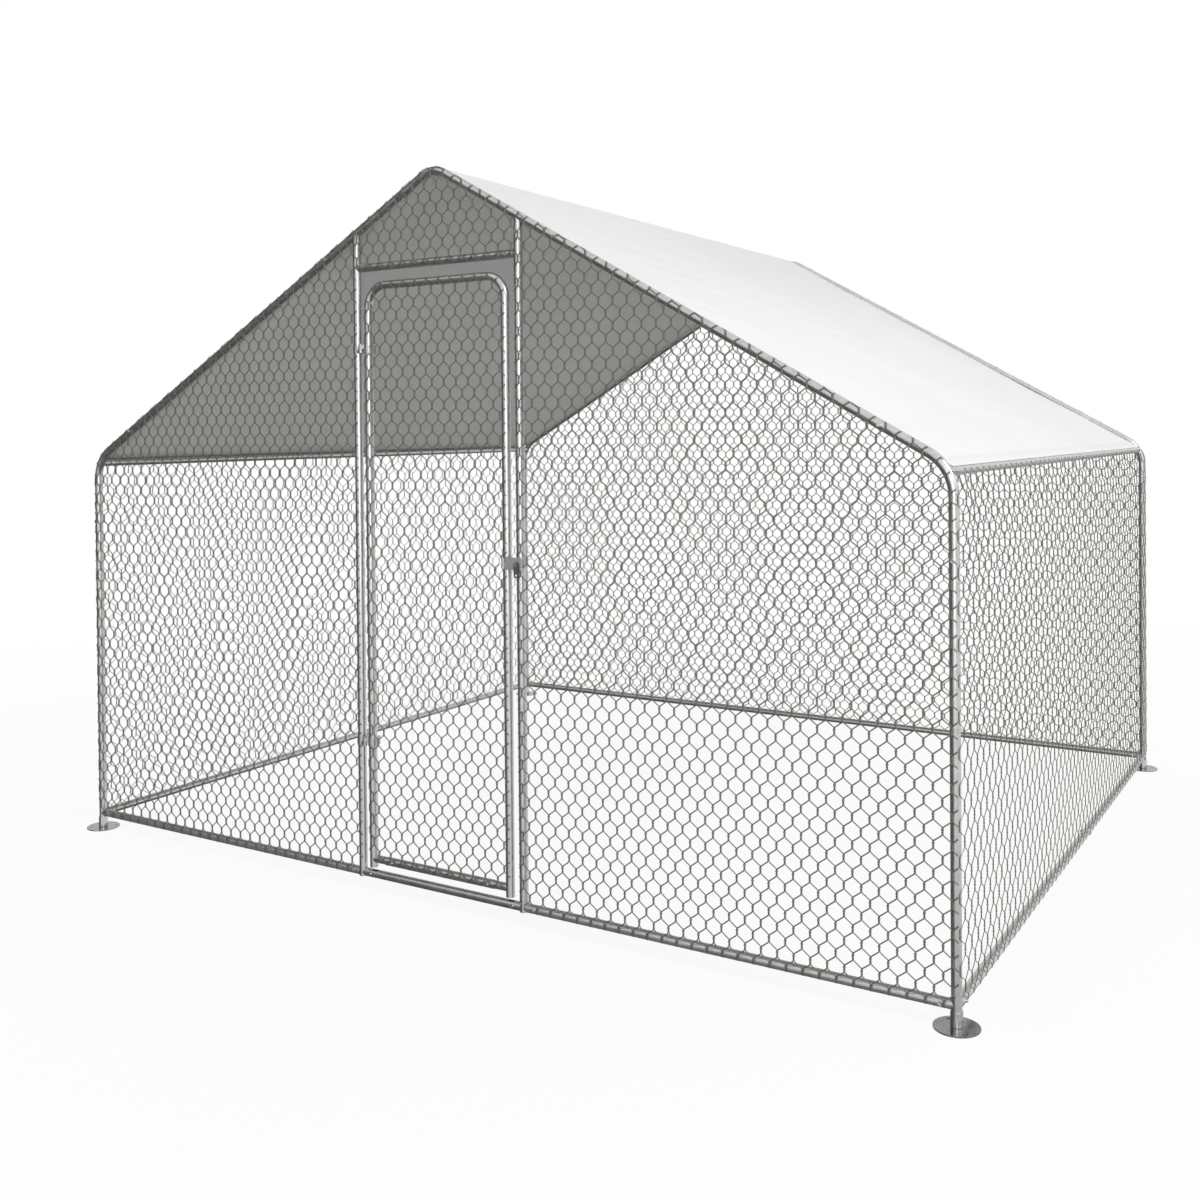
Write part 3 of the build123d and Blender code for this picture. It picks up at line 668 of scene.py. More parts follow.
@dataclass(frozen=True)
class Edge:
    """Line that a net ends on, mostly a tube: where way times place equals reach."""

    way: tuple[float, float]
    reach: float
    turn: float  # of the net over the tube, in radians

    @classmethod
    def tangent(cls, angle: float, centre: tuple[float, float], radius: float, turn: float) -> "Edge":
        """Line that touches a bend.

        Args:
            angle: Direction of the touching point from the bend's centre.
            centre: Centre of the bend.
            radius: Radius of the bend's centre line.
            turn: The net's turn over the tube, in radians.

        Returns:
            The edge.
        """
        way = (math.cos(angle), math.sin(angle))
        return cls(way, way[0] * centre[0] + way[1] * centre[1] + radius, turn)

    @classmethod
    def snip(cls, place: tuple[float, float], side: int) -> "Edge":
        """Slanted cut across a lower corner of a net.

        Args:
            place: Point on the cut.
            side: 1 for a right corner, -1 for a left one.

        Returns:
            The edge.
        """
        way = (side * math.sqrt(0.5), -math.sqrt(0.5))
        return cls(way, way[0] * place[0] + way[1] * place[1], 0.0)


@dataclass
class Panel:
    """One stretch of netting on a wall."""

    name: str
    node: str  # that it stands for
    wall: Wall
    edges: list[Edge]
    span: tuple[float, float]  # lattice columns along the wall, in metres
    rise: tuple[float, float]  # lattice rows up the wall, in metres
    body: Body = Body.FRAME
    clamps: tuple[str, ...] = ()
    bolts: tuple[str, ...] = ("joint_bolts",)
    bends_in: bool = False  # follows the eave bend at its top


@dataclass
class Netting:
    """Hexagonal netting: every cell's upright sides are two wires twisted round each other."""

    pen: PenSizes
    pitch: float = 0.043  # from twist to twist
    row: float = 0.033  # height from one row of twists to the next
    wire: float = 0.0019  # radius
    sides: int = 3
    margin_cells: float = 1.5  # laid out past a tube, to be trimmed
    join: float = 0.05  # of the wire's radius: gap that two wire ends may have
    slant_ring: float = 0.55  # place of the ring between a slanted side's middle and the twist
    half_turns: int = 3
    twist_share: float = 0.9  # of a cell's upright side
    seat: float = 0.0003  # between wire and tube
    press: float = 0.4  # share of its thickness that the netting keeps, pulled tight over a tube
    press_reach: float = 0.020  # from where the netting starts to flatten to the tube's centre line
    corner_room: float = 0.019  # from an upright tube's centre line to the cut corner beside it
    post_turn: float = math.radians(38)
    rail_turn: float = math.radians(36)
    slope_turn: float = math.radians(60)
    door_turn: float = math.radians(32)
    lintel_stop: float = math.radians(-30)  # where the net over the door ends, short of the door posts
    eave_touch: float = math.radians(6)  # where a side wall meets its eave rail, up from level
    eave_turn: float = math.radians(10)  # from there on over the rail
    eave_blend: float = 0.16  # from a corner post, where the wall leaves the bend's line
    bend_steps: int = 5
    clamp_gap: float = 0.0015
    cut_room: float = 0.03  # round a clamp, for faces that its cut looks at
    bolt_lift: float = 0.0034
    bolt_reach: float = 0.012
    bolt_height: float = 0.01  # the most that a head stands out of its tube

    @classmethod
    def wide(cls, pen: PenSizes) -> "Netting":
        """Netting of the side walls, with wider cells of thinner wire."""
        return cls(pen, pitch=0.054, row=0.041, wire=0.00125)

    @property
    def upright(self) -> float:
        """Length of a cell's upright sides, in the proportion of a regular hexagon."""
        return self.row * 2 / 3

    @property
    def level(self) -> float:
        """Middle of the netting in front of the tubes' centre plane."""
        return self.pen.tube + 2 * self.wire + self.seat

    @property
    def tight(self) -> float:
        """Middle of the flattened netting from the centre of a tube."""
        return self.pen.tube + 2 * self.wire * self.press + self.seat

    @property
    def margin(self) -> float:
        """Lattice laid out past a tube, to be trimmed."""
        return self.margin_cells * self.pitch

    def wire_path(self) -> list[Vector]:
        """Centre line of one wire, from the middle of a slanted side through a twist to the next one.

        Returns:
            Points as right, up and out from the middle of the twist.
        """
        corner = Vector((-self.pitch / 4, self.row / 2, 0))
        steps = self.half_turns * 2
        height = self.upright * self.twist_share
        twist = []
        for step in range(steps + 1):
            angle = math.pi + step * math.pi / 2
            drop = height / 2 - height * step / steps
            twist.append(Vector((self.wire * math.cos(angle), drop, self.wire * math.sin(angle))))
        ring = corner.lerp(twist[0], self.slant_ring)
        return [corner, ring, *twist, -ring, -corner]

    def wire_frames(self) -> list[Matrix]:
        """Places and directions of the wire's rings along its path.

        Returns:
            One matrix for each ring.
        """
        path = self.wire_path()
        slant = Vector((self.pitch / 2, self.upright - self.row, 0)).normalized()
        frames = []
        for index, place in enumerate(path):
            inside = 0 < index < len(path) - 1
            along = (path[index + 1] - path[index - 1]).normalized() if inside else slant
            facing = Vector((0, 0, 1))
            facing = (facing - along * facing.dot(along)).normalized()
            beside = facing.cross(along)
            turn = Matrix((beside, facing, along)).transposed().to_4x4()
            frames.append(Matrix.Translation(place) @ turn)
        return frames

    def twist_unit(self, bm: bmesh.types.BMesh) -> None:
        """Sweeps the two wires of one twist.

        Args:
            bm: Empty mesh that gets the wires.
        """
        frames = self.wire_frames()
        for half in (0.0, math.pi):
            around = Matrix.Rotation(half, 4, "Y")
            start = around @ frames[0]
            ring = bmesh.ops.create_circle(bm, segments=self.sides, radius=self.wire, matrix=start)["verts"]
            edges = list({edge for vert in ring for edge in vert.link_edges})
            for before, after in zip(frames, frames[1:]):
                grown = bmesh.ops.extrude_edge_only(bm, edges=edges)["geom"]
                verts = {item for item in grown if isinstance(item, bmesh.types.BMVert)}
                edges = [item for item in grown if isinstance(item, bmesh.types.BMEdge)]
                edges = [edge for edge in edges if verts.issuperset(edge.verts)]
                step = around @ after @ before.inverted() @ around.inverted()
                bmesh.ops.transform(bm, matrix=step, verts=list(verts))
        bmesh.ops.recalc_face_normals(bm, faces=bm.faces)

    def lattice(self, panel: Panel) -> bmesh.types.BMesh:
        """Repeats the twist over a panel's rectangle.

        Args:
            panel: The stretch of netting.

        Returns:
            Flat netting in wall coordinates: right, up, out.
        """
        first, last = (round(place / self.pitch) for place in panel.span)
        low, high = (round((place - self.pen.rail) / self.row / 2) * 2 for place in panel.rise)
        bm = bmesh.new()
        self.twist_unit(bm)
        start = Vector((first * self.pitch, self.pen.rail + low * self.row, 0))
        bmesh.ops.translate(bm, verts=bm.verts, vec=start)
        self.repeat(bm, Vector((self.pitch, 0, 0)), last - first - 1)
        self.repeat(bm, Vector((self.pitch / 2, self.row, 0)), 1)
        self.repeat(bm, Vector((0, 2 * self.row, 0)), (high - low) // 2)
        ends = [vert for vert in bm.verts if vert.is_boundary]
        bmesh.ops.remove_doubles(bm, verts=ends, dist=self.wire * self.join)
        return bm

    @staticmethod
    def repeat(bm: bmesh.types.BMesh, step: Vector, times: int) -> None:
        """Adds copies of all the geometry, each one step further.

        Args:
            bm: Mesh that grows.
            step: Way from one copy to the next.
            times: Number of copies.
        """
        geometry = bm.verts[:] + bm.edges[:] + bm.faces[:]
        bmesh.ops.spin(
            bm, geom=geometry, cent=(0, 0, 0), axis=(0, 0, 1), dvec=step, angle=0.0, steps=times,
            use_duplicate=True,
        )

    def trim(self, bm: bmesh.types.BMesh, panel: Panel) -> None:
        """Cuts the netting where it ends on its tubes and round the clamps, and closes the wires.

        Args:
            bm: Flat netting in wall coordinates.
            panel: The stretch of netting.
        """
        for edge in panel.edges:
            way = Vector((*edge.way, 0))
            end = way * (edge.reach + edge.turn * self.tight)
            geometry = bm.verts[:] + bm.edges[:] + bm.faces[:]
            bmesh.ops.bisect_plane(
                bm, geom=geometry, dist=CUT_SLACK, plane_co=end, plane_no=way, clear_outer=True
            )
        for low, high in self.clamp_zones(panel):
            self.cut_zone(bm, low, high)
        open_edges = [edge for edge in bm.edges if edge.is_boundary]
        bmesh.ops.holes_fill(bm, edges=open_edges, sides=0)
        loose = [vert for vert in bm.verts if not vert.link_faces]
        bmesh.ops.delete(bm, geom=loose, context="VERTS")

    def clamp_zones(self, panel: Panel) -> list[tuple[Vector, Vector]]:
        """Finds the rectangles on the wall that clamps take up.

        Args:
            panel: The stretch of netting.

        Returns:
            Lowest and highest corner of each, as right and up.
        """
        zones = []
        for node in panel.clamps:
            for low, high in island_boxes(node, -self.pen.half_depth):
                gap = self.clamp_gap
                lows = Vector((low.x - gap, low.z - gap))
                zones.append((lows, Vector((high.x + gap, high.z + gap))))
        return zones

    def cut_zone(self, bm: bmesh.types.BMesh, low: Vector, high: Vector) -> None:
        """Takes the wires out of one rectangle.

        Args:
            bm: Flat netting in wall coordinates.
            low: Lowest corner of the rectangle.
            high: Its highest corner.
        """
        room = self.cut_room
        for axis in (0, 1):
            for corner in (low, high):
                near = [
                    face for face in bm.faces
                    if all(low[i] - room < face.verts[0].co[i] < high[i] + room for i in (0, 1))
                ]
                edges = list({edge for face in near for edge in face.edges})
                verts = list({vert for face in near for vert in face.verts})
                way = Vector((1 - axis, axis, 0))
                place = Vector((corner[0], corner[1], 0))
                geometry = verts + edges + near
                bmesh.ops.bisect_plane(bm, geom=geometry, dist=CUT_SLACK, plane_co=place, plane_no=way)
        inside = [
            face for face in bm.faces
            if all(low[i] < face.calc_center_median()[i] < high[i] for i in (0, 1))
        ]
        bmesh.ops.delete(bm, geom=inside, context="FACES")

    def seated(self, flat: np.ndarray, panel: Panel) -> np.ndarray:
        """Turns the flat netting over its tubes.

        Args:
            flat: Points as right, up and out from the net's middle.
            panel: The stretch of netting.

        Returns:
            Points as right, up and out from the tubes' centre plane.
        """
        ways = np.array([edge.way for edge in panel.edges])
        past = flat[:, :2] @ ways.T - np.array([edge.reach for edge in panel.edges])
        nearest = past.argmax(axis=1)
        past = past[np.arange(len(flat)), nearest]
        way = ways[nearest]
        near = smooth(past / self.press_reach + 1)
        beyond = np.maximum(past, 0.0)
        angle = beyond / self.tight
        pressed = self.tight - self.level + flat[:, 2] * (self.press - 1)
        radius = self.level + flat[:, 2] + pressed * near
        placed = flat.copy()
        placed[:, :2] += way * (radius * np.sin(angle) - beyond)[:, None]
        placed[:, 2] = radius * np.cos(angle)
        return self.bent_in(placed) if panel.bends_in else placed

    def eave_rail(self) -> tuple[float, float]:
        """Centre line of the eave rail.

        Returns:
            Its place out from the corner posts' plane, and its height.
        """
        angle = self.pen.eave_turn / 2
        bend = self.pen.eave_bend
        return bend * (math.cos(angle) - 1), self.pen.bend_start + bend * math.sin(angle)

    def eave_arc(self, touch: np.ndarray) -> tuple[np.ndarray, np.ndarray]:
        """Arc that leads the netting from the wall's plane to the eave rail.

        Args:
            touch: Angles at which the netting meets the rail, up from level.

        Returns:
            Radius of the arc and the height where it starts.
        """
        rail_out, rail_up = self.eave_rail()
        radius = self.level - rail_out / (1 - np.cos(touch))
        return radius, rail_up + (self.level - radius) * np.sin(touch)

    def bent_in(self, placed: np.ndarray) -> np.ndarray:
        """Leads the top of a side wall in to the eave rail, and along the bends near the corner posts.

        Args:
            placed: Points as right, up and out from the tubes' centre plane.

        Returns:
            The points, bent in.
        """
        rail_out, rail_up = self.eave_rail()
        inside = smooth((self.pen.half_depth - np.abs(placed[:, 0])) / self.eave_blend)
        touch = self.pen.eave_turn / 2 + (self.eave_touch - self.pen.eave_turn / 2) * inside
        radius, start = self.eave_arc(touch)
        up, out = placed[:, 1], placed[:, 2]
        angle = np.maximum(up - start, 0) / radius
        reach = radius + out - self.level
        over = touch + (angle - touch) * radius / self.level
        on_rail = angle > touch
        bent_up = np.where(on_rail, rail_up + out * np.sin(over), start + reach * np.sin(angle))
        arc_out = reach * np.cos(angle) + self.level - radius
        bent_out = np.where(on_rail, rail_out + out * np.cos(over), arc_out)
        moved = placed.copy()
        moved[:, 1] = np.where(up > start, bent_up, up)
        moved[:, 2] = np.where(up > start, bent_out, out)
        return moved

    def over_bolts(self, placed: np.ndarray, panel: Panel) -> np.ndarray:
        """Lifts the wires over the bolt heads on the outside of the tubes.

        Args:
            placed: Points as right, up and out from the tubes' centre plane.
            panel: The stretch of netting.

        Returns:
            The points, lifted.
        """
        origin = self.origin(panel)
        for node in panel.bolts:
            for low, high in island_boxes(node):
                place = (low + high) / 2 - origin
                right, up = place.dot(panel.wall.right), place.z
                out = max((corner - origin).dot(panel.wall.out) for corner in (low, high))
                if not 0 < out - self.pen.tube < self.bolt_height:
                    continue
                distance = np.hypot(placed[:, 0] - right, placed[:, 1] - up)
                share = np.clip(1 - (distance / self.bolt_reach) ** 2, 0, 1)
                placed[:, 2] += self.bolt_lift * share**2 * (placed[:, 2] > self.pen.tube)
        return placed

    def origin(self, panel: Panel) -> Vector:
        """Middle of a wall's foot, in the tubes' centre plane."""
        out = panel.wall.out
        return Vector((out.x * self.pen.half_width, out.y * self.pen.half_depth, 0))

    def build(self, panel: Panel, material: bpy.types.Material) -> bpy.types.Object:
        """Makes one panel.

        Args:
            panel: The stretch of netting.
            material: Finish of the wire.

        Returns:
            The piece.
        """
        bm = self.lattice(panel)
        self.trim(bm, panel)
        mesh = bpy.data.meshes.new(panel.name)
        bm.to_mesh(mesh)
        bm.free()
        points = np.empty(len(mesh.vertices) * 3, np.float32)
        mesh.vertices.foreach_get("co", points)
        placed = self.over_bolts(self.seated(points.reshape(-1, 3).astype(float), panel), panel)
        axes = np.array([panel.wall.right, (0, 0, 1), panel.wall.out])
        world = placed @ axes + np.array(self.origin(panel))
        mesh.vertices.foreach_set("co", world.astype(np.float32).ravel())
        mesh.shade_smooth()
        mesh.update()
        mesh.materials.append(material)
        piece = shown_piece(panel.name, mesh, panel.body)
        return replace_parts(piece, panel.node)

    def foot_edges(self, left: float, right: float, rail: float) -> list[Edge]:
        """Rail under a net, with the net's corners cut off beside the upright tubes.

        Args:
            left: Centre line of the left upright tube.
            right: Centre line of the right upright tube.
            rail: Height of the rail's centre line.

        Returns:
            The edges.
        """
        corners = ((left + self.corner_room, -1), (right - self.corner_room, 1))
        snips = [Edge.snip((place, rail), side) for place, side in corners]
        return [Edge((0, -1), -rail, self.rail_turn), *snips]

    def gable_edges(self) -> list[Edge]:
        """Tubes round a gable: posts, slopes and their bends.

        Returns:
            The edges of a net that fills the gable.
        """
        pen = self.pen
        low = (pen.half_width - pen.eave_bend, pen.bend_start)
        top = (0.0, pen.ridge - pen.apex_bend / math.cos(pen.pitch))
        edges = []
        for angle in np.linspace(0, pen.eave_turn, self.bend_steps):
            over = max(2 * angle / pen.eave_turn - 1, 0.0)
            turn = self.post_turn + (self.slope_turn - self.post_turn) * over
            edges.append(Edge.tangent(angle, low, pen.eave_bend, turn))
            edges.append(Edge.tangent(math.pi - angle, (-low[0], low[1]), pen.eave_bend, turn))
        for angle in np.linspace(pen.eave_turn, math.pi - pen.eave_turn, self.bend_steps)[1:-1]:
            edges.append(Edge.tangent(angle, top, pen.apex_bend, self.slope_turn))
        return edges

    def front_panels(self) -> list[Panel]:
        """Netting of the door gable, round the doorway.

        Returns:
            The panels to the left and the right of the door and over it.
        """
        pen = self.pen
        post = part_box("door_post_right")[1].x - pen.tube
        header = middle("door_header").z
        wide = pen.half_width + self.margin
        left = Edge((1, 0), -post, self.door_turn)
        right = Edge((-1, 0), -post, self.door_turn)
        over = [Edge((0, -1), -header, self.door_turn)]
        over += [Edge((side, 0), post, self.lintel_stop) for side in (-1, 1)]
        gable = self.gable_edges()
        left_edges = [*self.foot_edges(-pen.half_width, -post, pen.rail), *gable, left]
        right_edges = [*self.foot_edges(post, pen.half_width, pen.rail), *gable, right]
        rise = (pen.rail - self.margin, pen.ridge - post * math.tan(pen.pitch) + self.margin)
        top_rise = (header - self.margin, pen.ridge + self.margin)
        beside, beyond = post - self.margin, post + self.margin
        return [
            Panel("netting_front_left", "net_front_left", Wall.FRONT, left_edges,
                  (-wide, -beside), rise, clamps=("hinge_pintle_bands",)),
            Panel("netting_front_right", "net_front_right", Wall.FRONT, right_edges,
                  (beside, wide), rise, clamps=("latch_stud_band",)),
            Panel("netting_front_top", "net_front_top", Wall.FRONT, [*gable, *over],
                  (-beyond, beyond), top_rise),
        ]

    def door_panel(self) -> Panel:
        """Netting of the door.

        Returns:
            The panel, which rides on the door.
        """
        pen = self.pen
        low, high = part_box("door_hoop")
        left, right, top = low.x + pen.tube, high.x - pen.tube, high.z - pen.tube
        bar = middle("door_bottom_bar").z
        edges = self.foot_edges(left, right, bar)
        bend = pen.door_bend
        right_centre, left_centre = (right - bend, top - bend), (left + bend, top - bend)
        for angle in np.linspace(0, math.pi / 2, self.bend_steps):
            edges.append(Edge.tangent(angle, right_centre, bend, self.door_turn))
            edges.append(Edge.tangent(math.pi - angle, left_centre, bend, self.door_turn))
        span = (left - self.margin, right + self.margin)
        rise = (bar - self.margin, top + self.margin)
        return Panel(
            "netting_door", "door_net", Wall.FRONT, edges, span, rise,
            Body.DOOR, ("hinge_eye_bands", "latch_band"), ("door_bolts",),
        )

    def back_panels(self) -> list[Panel]:
        """Netting of the back gable in three widths.

        Returns:
            The three panels.
        """
        pen = self.pen
        wide, third = pen.half_width + self.margin, pen.half_width / 3
        rise = (pen.rail - self.margin, pen.ridge + self.margin)
        widths = {"right": (-wide, -third), "middle": (-third, third), "left": (third, wide)}
        edges = [*self.foot_edges(-pen.half_width, pen.half_width, pen.rail), *self.gable_edges()]
        return [
            Panel(f"netting_back_{name}", "net_back", Wall.BACK, edges, span, rise)
            for name, span in widths.items()
        ]

    def side_panels(self, wall: Wall, name: str) -> list[Panel]:
        """Netting of one side wall in two widths.

        Args:
            wall: The side.
            name: Its name.

        Returns:
            The two panels.
        """
        pen = self.pen
        radius, start = self.eave_arc(np.array(self.eave_touch))
        top = float(start + radius * self.eave_touch)
        long = pen.half_depth + self.margin
        edges = self.foot_edges(-pen.half_depth, pen.half_depth, pen.rail)
        edges += [Edge((side, 0), pen.half_depth, self.post_turn) for side in (-1, 1)]
        cut = Edge((0, 1), top + self.eave_turn * self.tight, 0.0)
        rise = (pen.rail - self.margin, top + self.margin)
        near, far = ("front", "back") if wall is Wall.RIGHT else ("back", "front")
        spans = {near: (-long, 0.0), far: (0.0, long)}
        return [
            Panel(f"netting_{name}_{end}", f"net_{name}", wall, [*edges, cut], span, rise, bends_in=True)
            for end, span in spans.items()
        ]

    def build_gables(self, material: bpy.types.Material) -> None:
        """Makes the netting of the front, the door and the back."""
        for panel in [*self.front_panels(), self.door_panel(), *self.back_panels()]:
            self.build(panel, material)

    def build_sides(self, material: bpy.types.Material) -> None:
        """Makes the netting of the two side walls."""
        for panel in self.side_panels(Wall.LEFT, "left") + self.side_panels(Wall.RIGHT, "right"):
            self.build(panel, material)


# Roof cover


@dataclass
class RoofSheet:
    """White coated sheet over the ridge and eave rails, hemmed all round, with its underside painted grey
    as shade.
    """

    pen: PenSizes
    MAP: ClassVar[str] = "cloth"
    thick: float = 0.0009
    seat: float = 0.0004  # between rail and sheet
    eave_wrap: float = math.radians(10)
    hem: float = 0.032
    hem_rise: float = 0.0007
    sag: float = 0.009
    end_pull: float = 0.85  # share of the sag that is pulled out at the ends
    ripple: float = 0.0022
    ripple_waves: tuple[float, float] = (2.1, 1.3)  # for each metre across and along the pen
    ripple_seed: float = 7.0
    fold: float = 0.0042  # long shallow folds along the pen
    fold_waves: tuple[float, float] = (4.2, 0.7)  # for each metre across and along the folds
    fold_slant: float = 0.32  # fall down the slope for each metre along the pen
    fold_seed: float = 3.0
    painted_shade_tilt: float = -0.1  # faces whose normals point further down than this get the grey of the painted shade
    slope_steps: int = 36
    ridge_steps: int = 8
    wrap_steps: int = 3
    length_steps: int = 56
    ridge_rail: Vector = field(default_factory=lambda: middle("ridge_rail_front"))
    eave_rail: Vector = field(default_factory=lambda: middle("eave_rail_right_front"))

    @property
    def half_length(self) -> float:
        """Sheet's ends from the middle of the pen."""
        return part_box("roof_cover")[1].y

    @property
    def lean(self) -> float:
        """Direction of the right slope's outward side, from level."""
        return math.pi / 2 - math.atan2(self.ridge_rail.z - self.eave_rail.z, self.eave_rail.x)

    @property
    def down(self) -> Vector:
        """Way down the right slope."""
        return Vector((math.sin(self.lean), 0, -math.cos(self.lean)))

    @property
    def run(self) -> float:
        """Straight length of one slope."""
        return math.hypot(self.eave_rail.x, self.ridge_rail.z - self.eave_rail.z)

    @property
    def radius(self) -> float:
        """Middle of the sheet from the centre of a rail."""
        return self.pen.tube + self.seat + self.thick / 2

    @property
    def half_width(self) -> float:
        """Sheet's lower edges from the ridge, along the cloth."""
        return self.radius * (math.pi / 2 - self.lean) + self.run + self.radius * self.eave_wrap

    def profile(self) -> list[tuple[Vector, float]]:
        """Right half of the sheet's cross section, from the ridge to the eave.

        Returns:
            Points of the sheet's middle, each with its length along the cloth.
        """
        on_ridge = math.pi / 2 - self.lean
        points = []
        for step in range(self.ridge_steps + 1):
            angle = on_ridge * step / self.ridge_steps
            points.append((self._round(self.ridge_rail.z, 0.0, math.pi / 2 - angle), self.radius * angle))
        start, reached = points[-1]
        end = self._round(self.eave_rail.z, self.eave_rail.x, self.lean)
        for step in range(1, self.slope_steps + 1):
            share = step / self.slope_steps
            points.append((start.lerp(end, share), reached + self.run * share))
        reached += self.run
        for step in range(1, self.wrap_steps + 1):
            angle = self.eave_wrap * step / self.wrap_steps
            place = self._round(self.eave_rail.z, self.eave_rail.x, self.lean - angle)
            points.append((place, reached + self.radius * angle))
        return points

    def _round(self, height: float, across: float, angle: float) -> Vector:
        """Point of the sheet's middle over a rail."""
        return Vector((across + self.radius * math.cos(angle), 0, height + self.radius * math.sin(angle)))

    def flat_sheet(self) -> bmesh.types.BMesh:
        """Draws out the cross section, with its map of cloth lengths and its hem lines.

        Returns:
            The sheet before it sags.
        """
        bm = bmesh.new()
        half = self.profile()
        whole = [(Vector((-p.x, 0, p.z)), -s) for p, s in reversed(half[1:])] + half
        verts = [bm.verts.new((p.x, -self.half_length, p.z)) for p, _ in whole]
        edges = [bm.edges.new(pair) for pair in zip(verts, verts[1:])]
        step = Vector((0, 2 * self.half_length / self.length_steps, 0))
        bmesh.ops.spin(
            bm, geom=verts + edges, cent=(0, 0, 0), axis=(0, 1, 0), dvec=step, angle=0.0,
            steps=self.length_steps,
        )
        self.mark_hems(bm)
        bmesh.ops.recalc_face_normals(bm, faces=bm.faces)
        if sum(face.normal.z for face in bm.faces) < 0:
            bmesh.ops.reverse_faces(bm, faces=bm.faces)
        self.write_map(bm)
        return bm

    def mark_hems(self, bm: bmesh.types.BMesh) -> None:
        """Cuts edges into the sheet where its hems start and end to rise.

        Args:
            bm: The sheet before it sags.
        """
        insets = (self.hem, self.hem + 2 * self.hem_rise)
        corner = self._round(self.eave_rail.z, self.eave_rail.x, self.lean)
        down = self.down
        cuts = []
        for inset in insets:
            cuts += [((0, side * (self.half_length - inset), 0), (0, 1, 0)) for side in (-1, 1)]
        for inset in insets:
            place = corner - down * inset
            cuts += [((side * place.x, 0, place.z), (side * down.x, 0, down.z)) for side in (-1, 1)]
        for place, way in cuts:
            geometry = bm.verts[:] + bm.edges[:] + bm.faces[:]
            bmesh.ops.bisect_plane(bm, geom=geometry, dist=SAME_PLACE, plane_co=place, plane_no=way)

    def along(self, place: Vector) -> float:
        """Length along the cloth from the ridge to a point of it.

        Args:
            place: Point of the sheet before it sags.

        Returns:
            The length, negative on the left.
        """
        start = self._round(self.ridge_rail.z, 0.0, self.lean)
        reached = self.radius * (math.pi / 2 - self.lean)
        right = Vector((abs(place.x), 0, place.z))
        past = (right - start).dot(self.down)
        length = reached * abs(place.x) / start.x if past < 0 else reached + past
        return math.copysign(length, place.x)

    def write_map(self, bm: bmesh.types.BMesh) -> None:
        """Writes cloth lengths in metres into the map.

        Args:
            bm: The sheet before it sags.
        """
        layer = bm.loops.layers.uv.new(self.MAP)
        for face in bm.faces:
            for loop in face.loops:
                loop[layer].uv = (self.along(loop.vert.co), loop.vert.co.y)

    def drape(self, bm: bmesh.types.BMesh) -> None:
        """Sags the cloth between its rails, ripples it and raises the hems.

        Args:
            bm: The flat sheet, with its normals up to date.
        """
        for vert in bm.verts:
            down = abs(self.along(vert.co))
            share = min(down / self.half_width, 1.0)
            length = vert.co.y / self.half_length
            free = math.sin(math.pi * share)
            hang = free * (1 - self.end_pull * length**2)
            wide, long = self.ripple_waves
            wave = noise.noise(Vector((vert.co.x * wide, vert.co.y * long, self.ripple_seed)))
            wide, long = self.fold_waves
            across = down - self.fold_slant * vert.co.y
            fold = noise.noise(Vector((across * wide, vert.co.y * long, self.fold_seed)))
            lift = (self.ripple * wave + self.fold * fold) * free - self.sag * hang
            to_end = self.half_length - abs(vert.co.y)
            to_eave = self.half_width * (1 - share) - self.radius * self.eave_wrap
            if min(to_end, to_eave) < self.hem + self.hem_rise / 2:
                lift += self.hem_rise
            vert.co += vert.normal * lift

    def build(self) -> bpy.types.Object:
        """Makes the sheet.

        Returns:
            The piece.
        """
        bm = self.flat_sheet()
        bm.normal_update()
        self.drape(bm)
        bmesh.ops.solidify(bm, geom=bm.faces[:], thickness=self.thick)
        bm.normal_update()
        for face in bm.faces:
            face.material_index = 1 if face.normal.z < self.painted_shade_tilt else 0
        mesh = bpy.data.meshes.new("roof_sheet")
        bm.to_mesh(mesh)
        bm.free()
        mesh.shade_smooth()
        sizes = (self.half_width, self.half_length, self.hem)
        outside = SheetFinish("sheet_outside", (0.74, 0.74, 0.735), (0.87, 0.87, 0.865), 0.5, *sizes)
        # painted shade: the sheet's downward faces get these grey colours
        inside = SheetFinish("sheet_inside_painted_shade", (0.43, 0.43, 0.426), (0.49, 0.49, 0.486), 0.62, *sizes)
        for finish in (outside, inside):
            mesh.materials.append(finish.material())
        piece = shown_piece("roof_sheet", mesh, Body.FRAME)
        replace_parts(piece, "roof_cover")
        flat = (2 * self.half_width, 2 * self.half_length)
        rails = ["ridge_rail_front", "ridge_rail_back"]
        rails += [f"eave_rail_{side}_{end}" for side in ("left", "right") for end in ("front", "back")]
        return piece


# Carried-over solids


@dataclass
class Metalwork:
    """Tubes, feet, bolts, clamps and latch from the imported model, each with its finish."""

    words: tuple[tuple[str, Finish], ...] = (
        ("hasp_pin", Finish.BOLT),
        ("hasp", Finish.HASP),
        ("turning_tab", Finish.TAB),
        ("base_rail_front", Finish.RAIL),
        ("foot_", Finish.FOOT),
        ("bolts", Finish.BOLT),
        ("band", Finish.CLAMP),
    )

    def finish_of(self, node: str) -> Finish:
        """Finds a node's finish by the first word that its name holds.

        Args:
            node: Name of the CAD node.

        Returns:
            The finish; that of the tubes if no word fits.
        """
        return next((finish for word, finish in self.words if word in node), Finish.TUBE)

    def dress(self) -> None:
        """Gives every shown node its finish."""
        materials = {finish: finish.value.material() for finish in Finish}
        for name, node in frame["nodes"].items():
            if node.hide_render:
                continue
            finish = self.finish_of(name)
            node.material_slots[0].material = materials[finish]
            LOG.info("%s: %s", name, finish.value.name)


# Studio


